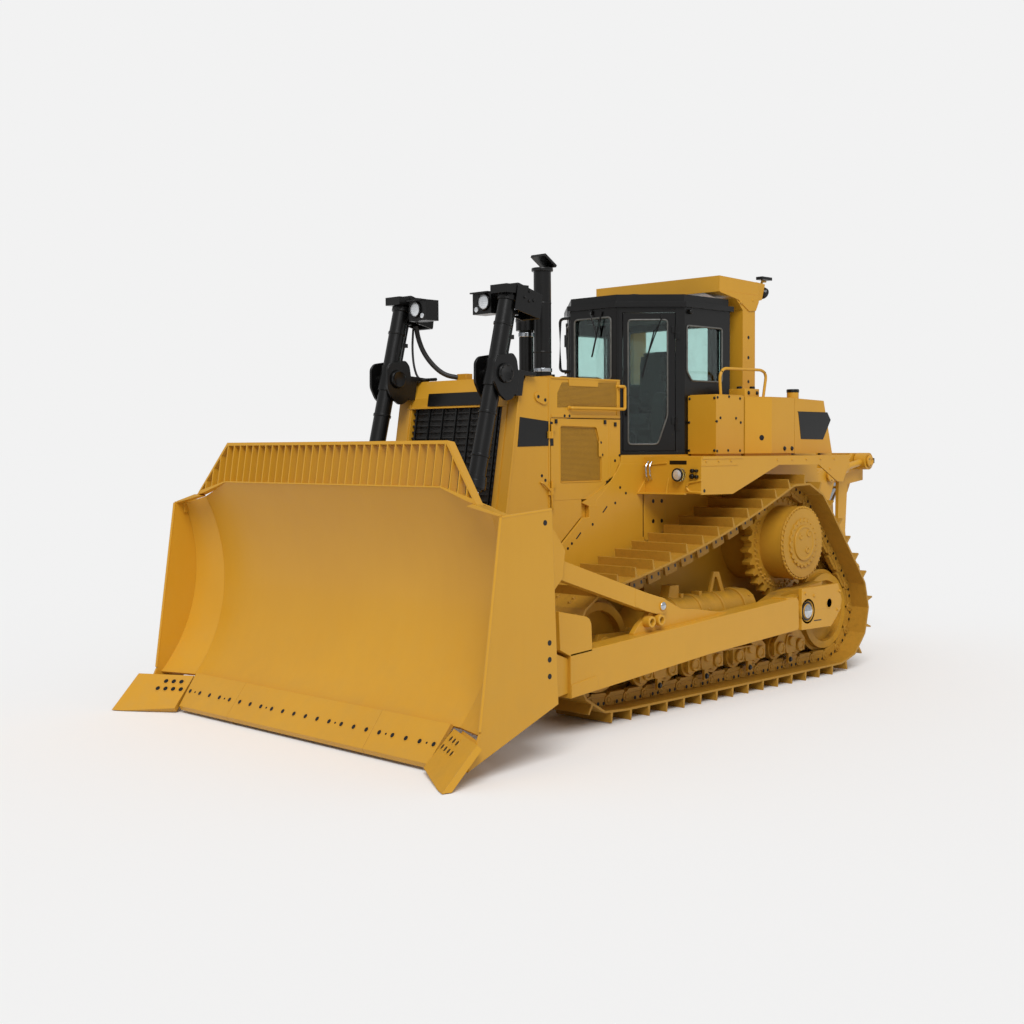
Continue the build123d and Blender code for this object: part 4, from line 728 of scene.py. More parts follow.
def dress_undercarriage():
    """Shaft ends and bolts on the bogies, idler caps, recoil housing clamps and the drive's bolt ring."""
    stations = [-3045 + ROLLER_STEP * k for k in range(8)]
    plate_x = TRACK_X + 175.3
    caps = Mould()
    cap = [(-4, 0), (-4, 62), (20, 62), (26, 56), (26, 38), (18, 34), (18, 0)]
    caps.turned(cap, [(plate_x, y, ROLLER_Z) for y in stations], X, 28)
    for k in range(0, 8, 2):
        middle = (stations[k] + stations[k + 1]) / 2
        caps.turned(button(-4, 48, 34, 40, 42), [(plate_x, middle, 385)], X, 24)
        outline = smooth_corners([(middle - 70, 268), (middle + 70, 268), (middle + 92, 350),
                                  (middle + 52, 455), (middle - 52, 455), (middle - 92, 350)], 22)
        caps.side(outline, plate_x - 2, plate_x + 14)
        caps.side(box(middle - 30, 172, middle + 30, 270), plate_x - 20, plate_x + 8)
    caps.turned([(-4, 0), (-4, 98), (24, 98), (32, 90), (32, 40), (26, 36), (26, 0)],
                on_side(plate_x, IDLERS), X, 40)
    caps.mirrored().made("bogie_caps", YELLOW_CAST, 2)
    ring = [on_ring(plate_x + 20, (y, ROLLER_Z), 49, 4, 0.6) for y in stations]
    ring += [on_ring(plate_x + 28, idler, 78, 6, 0.3) for idler in IDLERS]
    hex_bolts("bogie_bolts", np.concatenate(ring), X, 9, YELLOW_CAST)
    nuts = [(plate_x + 8, (stations[k] + stations[k + 1]) / 2, 205) for k in range(0, 8, 2)]
    hex_bolts("bogie_nuts", nuts, X, 18, BLACK)

    # Recoil housings and the fins below the frames
    housing = Mould()
    for y, radius, width in ((-2860, 178, 34), (-2560, 176, 22), (-2230, 177, 26), (-1900, 177, 26),
                             (-1560, 184, 46)):
        band = [(-width, 150), (-width, radius - 4), (4 - width, radius), (width - 4, radius),
                (width, radius - 4), (width, 150)]
        housing.turned(band, [(TRACK_X, y, 761)], Y, 48)
    for y in (-2400, -2130):
        fin = [(y - 14, 905), (y + 14, 905), (y + 22, 956), (y - 22, 956)]
        housing.side(fin, TRACK_X - 30, TRACK_X + 60)
        housing.front([(TRACK_X + 105, 640), (TRACK_X + 175, 650), (TRACK_X + 172, 800),
                       (TRACK_X + 118, 860)], y, -14, 14)
    eye = [(-1940, 905), (-1900, 905), (-1852, 1062), (-1828, 1062), (-1750, 905), (-1700, 905),
           (-1790, 1108), (-1872, 1112)]
    housing.side(eye, TRACK_X - 12, TRACK_X + 16)
    guard = [(-2423, 870), (-2423, 1034), (-2547, 1034), (-2590, 870)]
    housing.side(guard, TRACK_X - 60, TRACK_X + 40)
    housing.mirrored().made("recoil_clamps", YELLOW_CAST, 2.5)
    cover = [on_ring(TRACK_X + 120, (-1450, 850), 34, 3, 0.4)]
    hex_bolts("recoil_bolts", np.concatenate(cover), (0.75, 0, 0.66), 13, YELLOW_CAST)
    fins = Mould()
    for outline in ([(-2133, 423), (-2002, 486), (-1901, 440), (-1990, 426)],
                    [(-1715, 498), (-1577, 413), (-1594, 465)],
                    [(-1990, 420), (-1585, 420), (-1585, 432), (-1990, 436)]):
        fins.side(outline, 1330, 1395)
    fins.mirrored().made("frame_fins", YELLOW_CAST, 2)

    # Final drives
    drive = Mould()
    t = np.arange(176) * 2 * math.pi / 176
    edge = 232 + 7 * np.cos(22 * t)
    drive.side(np.stack([HUB[0] + edge * np.cos(t), HUB[1] + edge * np.sin(t)], -1), 1426, 1440)
    rim = [(-2, 300), (-2, 346), (5, 352), (16, 352), (20, 348), (20, 332), (12, 326), (12, 300)]
    drive.turned(rim, [(1400, *HUB)], X, 88)
    for y, z, radius in ((-768, 1425, 34), (-905, 1395, 26), (-790, 1262, 30)):
        drive.turned([(-2, 0), (-2, radius), (7, radius), (10, radius - 3), (10, radius - 9),
                      (4, radius - 12), (4, 0)], [(1446, y, z)], X, 24)
    drive.turned([(-2, 0), (-2, 168), (4, 172), (10, 168), (12, 150), (6, 140), (6, 0)], [(1442, *HUB)], X,
                 48)
    drive.mirrored().made("drive_covers", YELLOW_CAST, 1.5, sharp=30)
    hex_bolts("drive_rim_bolts", on_ring(1420, HUB, 341, 44), X, 9.5, YELLOW_CAST)
    hex_bolts("drive_cover_bolts", on_ring(1440, HUB, 212, 22, math.pi / 22), X, 8, YELLOW_CAST)
    hex_bolts("sprocket_bolts", np.concatenate([on_ring(1171, HUB, 430, 54),
                                                on_ring(1171, HUB, 400, 27, 0.05)]), X, 13, YELLOW_CAST)


# Blade

def dress_blade():
    """Bolt holes in the edges and end bits, corner gussets, and the rims of the end plates."""
    rise, back = 0.7958, 0.6055
    ahead = (0, -rise, back)

    def on_edge(x, height):
        """Place on the cutting edge's front face, which leans forward towards the ground."""
        down = (321.4 - height) / rise
        return (x, -5600 - back * down - 28.09, height)

    large = np.linspace(-1563, 1563, 22)
    small = (large[[0, 3, 7, 13, 17, 20]] + large[[1, 4, 8, 14, 18, 21]]) / 2
    edge_places = [on_edge(x, 182) for x in large]
    holes("edge_holes", edge_places, ahead, 19, body="blade", both=False)
    holes("edge_small_holes", [on_edge(x, 182) for x in small], ahead, 9, body="blade", both=False)
    rings = Mould().turned([(-1, 19), (-1, 27), (2.2, 26), (2.2, 19), (-1, 19)], edge_places, ahead, 20)
    rings.made("edge_hole_rims", YELLOW, 0, "blade")
    origin = np.array([1663.9, -5632.1, 292.4])
    across = np.array([0.8927, -0.4506, -0.0073])
    out = np.array([-0.3185, -0.6423, 0.6972])
    up = np.cross(out, across)
    spots = [(95 + 76 * k, -70) for k in range(3)] + [(70 + 76 * k, -148) for k in range(4)]
    places = [origin + across * u + up * v for u, v in spots]
    holes("bit_holes", places, out, 21, body="blade")
    rims = Mould().turned([(-1, 21), (-1, 31), (3, 29), (3, 21), (-1, 21)], places, out, 22)
    rims.mirrored().made("bit_hole_rims", YELLOW, 0, "blade")
    gussets = Mould()
    gussets.front([(1700, 1856), (2046, 1790), (2046, 1806), (1760, 1872)], -5478, -26, 60)
    gussets.side([(-5470, 1700), (-5140, 1760), (-5100, 1800), (-5470, 1800)], 2030, 2050)
    gussets.mirrored().made("corner_gussets", YELLOW, 2, "blade")
    rim = Mould().tube([(2061, -5549, 1790), (2061, -5761, 342)], 13, 10, X)
    rim.tube([(2061, -5545, 1788), (2061, -5047, 1823)], 13, 10, X)
    rim.mirrored().made("end_plate_rims", YELLOW, 0, "blade")
    places = on_side(2072, [(-5120, 1735), (-5080, 640), (-5080, 760), (-5080, 880)])
    holes("end_plate_holes", places, X, 20, body="blade")
    tops = Mould()
    for x in np.arange(-1260, 1300, 420):
        tops.top(box(x - 45, -5462, x + 45, -5405), 1980, 0, 10)
    tops.made("guard_feet", YELLOW, 2, "blade")


# Push arms and braces, which stand for the plainer solids

def dress_arms():
    """Each arm with its tongue at the trunnion, its ear and its bosses, and each brace with its fork."""
    arm = Mould()
    arm.side([(-1262, 860), (-1232, 825), (-1226, 575), (-1246, 556), (-2605, 481), (-4382, 332),
              (-4382, 677)], 1462, ARM_X)
    tongue = [(-1300, 850), (-1240, 850)] + arc_points(PIVOT, 150, 90, -90, 24) + [(-1240, 560), (-1300, 560)]
    arm.side(tongue, 1464, 1588)
    cover = [(-4380, 660), (-4500, 720), (-4515, 1018), (-4196, 950), (-4160, 930), (-4140, 890),
             (-4131, 720), (-4131, 676)]
    arm.side(cover, 1492, ARM_X)
    arm.side([(-4380, 336), (-4380, 440), (-4086, 476), (-4063, 452), (-4063, 362)], ARM_X - 2, ARM_X + 7)
    ear = [(-3528, 690), (-3528, 745), (-3464, 808), (-3334, 890), (-3275, 985), (-3240, 1010), (-3203, 1018),
           (-3150, 1008), (-3080, 975), (-3015, 943), (-2892, 890), (-2697, 872), (-2454, 832), (-2250, 806),
           (-2250, 690)]
    arm.side(ear, 1510, 1560)
    boss = [(0, 0), (0, 47), (72, 47), (76, 43), (76, 27), (40, 24), (40, 0)]
    arm.turned(boss, on_side(1556, [(-3375, 830), (-3249, 834)]), X, 32)
    arm.turned(rod(0, 140, 40), [(1470, -3203, 945)], X, 32)
    arm.top(box(1470, -1420, 1632, -1300), 862, -30, 3)
    brace = Mould()
    brace.side([(-4478, 1262), (-4437, 1403), (-3395, 1066), (-3420, 922)], 1502, 1600)
    brace.side([(-4700, 1370), (-4680, 1460), (-4440, 1395), (-4470, 1270)], 1503, 1599)
    prong = [(-3440, 930), (-3440, 1080), (-3330, 1048), (-3187, 1009)] + arc_points((-3203, 945), 66, 76,
                                                                                     -90, 14)
    prong += [(-3290, 888), (-3420, 922)]
    for x_from, x_to in ((1478, 1505), (1565, 1601)):
        brace.side(prong, x_from, x_to)
    brace.side([(-3560, 975), (-3560, 1117), (-3435, 1078), (-3435, 928)], 1478, 1602)
    cap = Mould().turned([(0, 0), (0, 36), (8, 36), (16, 30), (21, 18), (23, 0)], [(1600, -3203, 945)], X, 32)
    # Black discs at the bottom of the bosses' bores: painted shade
    shade_dots = Mould().turned(rod(-2, 3, 24), on_side(1594, [(-3375, 830), (-3249, 834)]), X, 20)
    left, right = arm.pair("push_arm_{}_shape", YELLOW, 4, "blade")
    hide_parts("push_arm_left")
    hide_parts("push_arm_right")
    left, right = brace.pair("tilt_brace_{}_shape", YELLOW, 4, "blade")
    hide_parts("tilt_braces")
    cap.pair("brace_pin_cap_{}", CHROME, 0, "blade")
    shade_dots.pair("brace_boss_bores_{}", BLACK, 0, "blade")

    # Plates, caps and rings at the trunnions
    frame_plate = Mould()
    upper = [(-1180, PIVOT[1]), (-1180, 935), (-550, 940), (-485, 779), (-500, 716),
             (PIVOT[0] + 96, PIVOT[1])]
    upper += arc_points(PIVOT, 96, 0, 180, 25)[1:]
    lower = [(-1180, PIVOT[1]), (PIVOT[0] - 96, PIVOT[1])] + arc_points(PIVOT, 96, 180, 360, 25)[1:]
    lower += [(-500, 716), (-500, 690), (-671, 538), (-1180, 547)]
    frame_plate.side(upper, 1602, ARM_X)
    frame_plate.side(lower, 1602, ARM_X)
    frame_plate.turned([(0, 90), (0, 118), (38, 118), (38, 97), (30, 90), (0, 90)], [(1602, *PIVOT)], X, 48)
    frame_plate.side([(-900, 600), (-900, 890), (-598, 890), (-678, 600)], 1436, 1604)
    frame_plate.turned([(0, 0), (0, 54), (3, 54), (3, 44), (-3, 40), (-3, 0)], [(ARM_X, -706, 762)], X, 32)
    frame_plate.mirrored().made("trunnion_plates", YELLOW, 3)
    hex_bolts("trunnion_bolts", on_side(ARM_X, [(-1123, 890), (-972, 855), (-524, 863), (-560, 690)]), X, 12,
              YELLOW)
    # Black strip in the frame plate's slot: painted shade
    side_shape("trunnion_slots", [(-972, 613), (-846, 610), (-846, 620), (-972, 623)], ARM_X - 1, ARM_X + 1,
               BLACK, 0)
    t = np.linspace(0, math.radians(44), 10)
    dome = [(94 * math.cos(a), 94 * math.sin(a)) for a in t][::-1]
    ball = Mould().turned([(dome[0][0] - 8, 0), (dome[0][0] - 8, dome[0][1])] + dome, [(1580, *PIVOT)], X, 40)
    ball.mirrored().made("trunnion_caps", CHROME)
    ring = Mould().turned([(-2, 66), (-2, 90), (6, 90), (9, 84), (9, 72), (4, 66), (-2, 66)],
                          [(ARM_X - 12, *PIVOT)], X, 48)
    ring.mirrored().made("trunnion_rings", BLACK)


# Lift cylinders

def dress_cylinders():
    """Covers, caps, clamps, lamp lenses and glands on the two lift cylinders."""
    lobe = smooth_corners([(-4300, 3012), (-4130, 3038), (-4085, 2990), (-4062, 2850), (-4078, 2738),
                           (-4140, 2662), (-4210, 2644), (-4290, 2700), (-4344, 2800), (-4342, 2965)], 24)
    web = [(-4100, 2690), (-4024, 2690), (-3999, 2840), (-3999, 2858), (-3855, 2858), (-3855, 2886),
           (-4100, 2905)]
    yokes = Mould()
    for x_from, x_to in ((541.5, 567), (765, 790.5)):
        yokes.side(lobe, x_from, x_to)
    yokes.side(web, 545, 787)
    yokes = yokes.mirrored().made("yoke_shapes", BLACK, 3)
    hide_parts("lift_yokes")
    down = unit(np.array([0, -540, -2170]))
    top = np.array([LIFT_X, *YOKE])
    shell = Mould()
    cover = smooth_corners([(-4085, 3400), (-4044, 3617), (-3758, 3534), (-3787, 3333)], 14)
    for x_from, x_to in ((761, 771), (561, 571)):
        shell.side(cover, x_from, x_to)
    strip = [(-4052, 3590), (-4044, 3617), (-3758, 3534), (-3766, 3508)]
    shell.side(strip, 565, 767)
    shell.side([(-3772, 3508), (-3758, 3534), (-3787, 3333), (-3800, 3340)], 565, 767)
    for distance, radius, width in ((-640, 84, 20), (-420, 79, 12), (330, 79, 12), (690, 79, 12),
                                    (930, 88, 34)):
        band = [(-width, 60), (-width, radius - 2), (2 - width, radius), (width - 2, radius),
                (width, radius - 2), (width, 60)]
        shell.turned(band, [top + down * distance], down, 40)
    line = [top + down * d + np.array([0, 92, -22]) for d in (-560, -100)]
    shell.tube(np.linspace(line[0], line[1], 8), 19, 14, X)
    for distance in (-540, -330):
        place = top + down * distance + np.array([0, 60, -14])
        shell.plate(box(-34, -18, 34, 18), place, X, Z, -60, 10)
    trunnion = [(-2, 0), (-2, 78), (10, 82), (22, 78), (26, 66), (20, 56), (20, 0)]
    for x, axis in ((791, X), (541, -X)):
        shell.turned(trunnion, [(x, *YOKE)], axis, 40)
    lens_body = Mould()
    oval = [(0, 0), (0, 62), (6, 60), (12, 48), (15, 26), (16, 0)]
    lens_body.turned(oval, [(431, -4112, 3478)], -Y, 40)
    lens_body.turned([(0, 0), (0, 24), (5, 21), (8, 10), (9, 0)], [(342, -4112, 3420)], -Y, 24)
    bezel = Mould()
    bezel.turned([(-2, 60), (-2, 76), (14, 74), (18, 68), (16, 62), (-2, 60)], [(431, -4110, 3478)], -Y, 40)
    bezel.front(box(300, 3550, 510, 3562), -4150, -45, 0)
    gland = Mould().turned([(0, 43), (0, 62), (14, 60), (20, 52), (20, 43), (0, 43)], [top + down * 970],
                           down, 36)
    bolts = Mould()
    bolts.turned(button(0, 13, 8, 10, 10), on_side(771,
                                                   [(-3969, 3500), (-3863, 3481), (-3917, 3473),
                                                    (-3911, 3554)]), X, 6)
    bolts.turned(button(0, 11, 9, 11, 8), on_ring(811, YOKE, 66, 6, 0.3), X, 6)
    fitting = Mould().turned([(0, 0), (0, 26), (30, 26), (34, 20), (60, 20), (60, 0)], [(600, -3900, 3430)],
                             (0, 0.2, -1), 24)
    shell.pair("cylinder_covers_{}", BLACK, 1.5, "lift_barrel_{}")
    lens_body.pair("work_lens_{}", LENS, 0, "lift_barrel_{}")
    bezel.pair("work_lamp_rim_{}", BLACK, 1, "lift_barrel_{}")
    gland.pair("rod_gland_{}", BLACK, 0, "lift_barrel_{}")
    bolts.pair("cover_bolts_{}", BLACK, 0, "lift_barrel_{}")
    fitting.pair("hose_fitting_{}", CHROME, 0, "lift_barrel_{}")
    pins = Mould()
    for x, axis in ((766, X), (566, -X)):
        pins.turned(button(0, 60, 10, 16, 52), [(x, -4765, 700)], axis, 32)
    pins.pair("rod_pin_caps_{}", YELLOW, 1, "blade")


def eased(points, times=4):
    """A line through the points with its corners cut again and again."""
    points = np.array(points, float)
    for _ in range(times):
        near, far = points[:-1] * 0.75 + points[1:] * 0.25, points[:-1] * 0.25 + points[1:] * 0.75
        points = np.concatenate([points[:1], np.stack([near, far], 1).reshape(-1, 3), points[-1:]])
    return points


def dress_hoses():
    """The thick and the thin hose from the right cylinder's cover down to the guard's top."""
    thick = [(-610, -3946, 3352), (-603, -3930, 3245), (-565, -3896, 3110), (-500, -3831, 2990),
             (-430, -3760, 2915), (-340, -3690, 2894)]
    thin = [(-632, -3961, 3330), (-634, -3974, 3160), (-618, -3971, 2990), (-585, -3950, 2880),
            (-500, -3920, 2872)]
    for name, route, width in (("thick_hose", thick, 44), ("thin_hose", thin, 20)):
        path = eased(route)
        hose = Mould().tube(path, width / 2, 20, X).made(name, HOSE)
    fitting = Mould().front([(-345, 2858), (-345, 2925), (-225, 2925), (-225, 2858)], -3660, -40, 40)
    fitting.made("hose_block", YELLOW, 5)
    nuts = Mould()
    for x in (-500, -455, -410):
        nuts.turned(rod(0, 30, 16), [(x, -3920, 2872)], X, 6)
    nuts.made("hose_nuts", BLACK)


# Radiator guard, hood, engine doors and hull

def dress_body():
    """Plates, holes, bolts, grille bars and panels of the front of the machine."""
    lean = unit(np.array([0, GUARD_LEAN, 1]))

    def on_guard(height):
        """Middle of the guard's leaning front at a height."""
        return np.array([0, -4030 - (2650 - height) * GUARD_LEAN, height])

    low_front = on_guard(1500)
    bars = Mould()
    for x in np.arange(-510, 511, 170):
        bars.plate(box(x - 6, 4, x + 6, 1130), low_front, X, lean, -24, -6)
    bars.made("grille_bars", BLACK)
    header = Mould().plate(smooth_corners(box(-357, 0, 357, 112), 10), on_guard(2628), X, lean, 2, 14)
    header.made("header_plate", BLACK, 1)
    frame_line = Mould()
    for x in (-610, 610):
        frame_line.plate(box(x - 22, -60, x + 22, 1190), low_front, X, lean, -2, 8)
    frame_line.plate(box(-632, 1122, 632, 1136), low_front, X, lean, -2, 10)
    frame_line.plate(box(-632, -60, 632, -20), low_front, X, lean, -2, 8)
    frame_line.made("guard_frame", YELLOW, 2)
    side_shape("side_plates", [(-4036, 2271), (-4007, 2518), (-3609, 2480), (-3600, 2279)], GUARD_X - 0.5,
               GUARD_X + 3, BLACK, 0.6)
    lug = smooth_corners([(-3835, 2700), (-3800, 2735), (-3690, 2690), (-3675, 2640), (-3720, 2620),
                          (-3820, 2655)], 22)
    side_shape("guard_lugs", lug, GUARD_X - 1, GUARD_X + 12, YELLOW, 2)
    holes("guard_lug_holes", on_side(GUARD_X + 12, [(-3795, 2689), (-3711, 2663)]), X, 15)
    holes("guard_holes", on_side(GUARD_X, [(-3744, 2026), (-3701, 1987), (-3690, 1640), (-4150, 1560)]), X,
          14)
    grip = Mould().tube(rounded([(GUARD_X, -3763, 1971), (GUARD_X + 22, -3755, 1968),
                                 (GUARD_X + 22, -3650, 1890), (GUARD_X + 22, -3634, 1740),
                                 (GUARD_X, -3632, 1730)], 16), 8)
    grip.mirrored().made("guard_grips", YELLOW)
    edge = Mould()
    for outline in (box(-3662, 1425, -3646, 2850),
                    [(-4232, 1425), (-4206, 1425), (-4002, 2694), (-4024, 2694)]):
        edge.side(outline, GUARD_X - 2, GUARD_X + 5)
    edge.mirrored().made("guard_edges", YELLOW, 1.5)

    # Hood
    panel = [(-3488, 2819), (-2774, 2836), (-2775, 2616), (-3550, 2604), (-3549, 2727)]
    side_shape("hood_panels", panel, GUARD_X - 1, GUARD_X + 2, PUNCHED, 0.5)
    trim = Mould()
    for outline in ([(-3410, 2846), (-3022, 2846), (-3030, 2789), (-3402, 2789)],
                    box(-2775, 2540, -2735, 2850), box(-3626, 2520, -2730, 2545),
                    box(-3626, 2846, -2730, 2862)):
        trim.side(outline, GUARD_X - 1, GUARD_X + 6)
    trim.mirrored().made("hood_trim", YELLOW, 1.5)
    holes("hood_holes", on_side(GUARD_X + 6, [(-3464, 2533), (-3402, 2533)]), X, 13)
    feet = Mould().turned(button(0, 22, 6, 8, 18), on_side(GUARD_X, [(-3400, 2600), (-2766, 2800)]), X, 20)
    feet.mirrored().made("rail_feet", YELLOW)
    ribs = Mould()
    for x in (-330, 330):
        ribs.top(box(x - 9, -3620, x + 9, -2740), 2862, 0, 8)
    ribs.top(box(-740, -3636, 740, -3606), 2862, 0, 7)
    ribs.made("hood_ribs", YELLOW, 2)

    # Hull
    flank = [(-2390, 1000), (-2390, 2105), (-2720, 2118), (-2779, 2047), (-2910, 1912), (-3060, 1797),
             (-3060, 1757), (-3150, 1757), (-3150, 1652), (-3240, 1652), (-3436, 1492), (-3540, 1409),
             (-3540, 1150)]
    side_shape("hull_flanks", flank, 702, HULL_X, YELLOW, 2)
    side_shape("flank_backs", [(-3262, 1560), (-3262, 1800), (-3060, 1800), (-2800, 2090), (-2700, 2100),
                               (-2700, 1560)], 688, 699, YELLOW, 0)
    hull_bolts = [(-2735, 1903), (-2655, 1850), (-2803, 1766), (-3107, 1589), (-3379, 1435), (-3430, 1395),
                  (-2363, 1414)]
    holes("hull_bolts", on_side(HULL_X, hull_bolts), X, 13)
    holes("hull_plate_holes", on_side(HULL_X + 8,
                                      [(-2276, 1766), (-2151, 1764), (-2276, 1582), (-2151, 1581)]), X, 19)
    # Black strips in the hull's two slanting slots: painted shade; the thin upright strip is the dark line at
    # the hull plate's front edge
    shade_slots = Mould()
    for y, z in ((-2943, 1720), (-3293, 1504)):
        shade_slots.side([(y - 34, z - 30), (y - 22, z - 34), (y + 34, z + 16), (y + 26, z + 26)], HULL_X - 1,
                   HULL_X + 1.5)
    shade_slots.side(box(-2417, 1445, -2409, 1838), HULL_X - 1, HULL_X + 1.5)
    shade_slots.mirrored().made("hull_slots", BLACK)
    side_shape("hull_plates", [(-2406, 1448), (-2406, 1836), (-2096, 1836), (-2096, 1500), (-2380, 1400)],
               HULL_X - 1, HULL_X + 8, YELLOW, 2)

    # Engine doors
    window = Mould().side([(-3505, 1974), (-3505, 2440), (-3054, 2430), (-2987, 2238), (-2987, 1974)], 727,
                          730)
    rim = Mould()
    outline = smooth_corners([(-3516, 1963), (-3516, 2451), (-3047, 2441), (-2976, 2240), (-2976, 1963)], 24)
    closed_tube(rim, outline, 4, lambda y, z: (GUARD_X + 0.5, y, z))
    rim.side([(-3628, 1362), (-3628, 1816), (-3245, 1816), (-3245, 1665), (-3442, 1507)], 702, 739)
    rim.side([(-3250, 1812), (-3066, 1812), (-2915, 1928), (-2784, 2060), (-2725, 2130), (-2725, 2160),
              (-2805, 2014)], 702, 739)
    rim.side(smooth_corners([(-3018, 2180), (-3018, 2320), (-2945, 2320), (-2945, 2180)], 12), GUARD_X - 1,
             GUARD_X + 3)
    rim.side(box(-2880, 1985, -2862, 2500), GUARD_X - 1, GUARD_X + 3)
    dark = Mould()
    dark.turned([(0, 0), (0, 13), (4, 12), (4, 0)],
                on_side(GUARD_X, [(-2798, 2143), (-2907, 1957), (-2735, 2190), (-2968, 2196), (-2988, 2304)]),
                X, 16)
    for y, z in ((-3570, 2487), (-2936, 2486), (-2797, 2467)):
        dark.side(box(y - 14, z - 20, y + 14, z + 16), GUARD_X - 1, GUARD_X + 10)
    window.pair("door_screen_{}", PUNCHED, 0, "engine_door_{}")
    rim.pair("door_trim_{}", YELLOW, 1.5, "engine_door_{}")
    dark.pair("door_catches_{}", BLACK, 1, "engine_door_{}")


# Stack, air cleaner, cab and canopy

def dress_stack():
    """Clamps, bellows and rims of the exhaust stack and the air cleaner."""
    clamps = Mould()
    for x, z, radius, height in ((100, 2945, 84, 34), (-105, 2918, 80, 14), (-105, 3272, 71, 40)):
        band = [(0, radius - 16), (0, radius), (2, radius + 2), (height - 2, radius + 2), (height, radius),
                (height, radius - 16)]
        clamps.turned(band, [(x, STACK_Y, z)], Z, 44)
        clamps.plate(box(-14, 2, 14, height - 2), (x, STACK_Y - radius, z), X, Z, -4, 14)
    clamps.made("stack_clamps", CHROME, 0.8)
    dark = Mould()
    ripple = [(0, 60)] + [(6 * k, 84 + 5 * (k % 2)) for k in range(1, 9)] + [(52, 60)]
    dark.turned(ripple, [(100, STACK_Y, 2866)], Z, 40)
    dark.turned([(0, 60), (0, 95), (5, 98), (26, 98), (31, 95), (31, 78)], [(100, STACK_Y, 3850)], Z, 48)
    dark.turned([(0, 40), (0, 92), (20, 99), (44, 99), (60, 92), (72, 60), (76, 0)], [(-105, STACK_Y, 3394)],
                Z, 48)
    for z in (3120, 3560):
        dark.turned([(0, 70), (0, 80), (3, 82), (9, 82), (12, 80), (12, 70)], [(100, STACK_Y, z)], Z, 44)
    dark.made("stack_rims", BLACK)


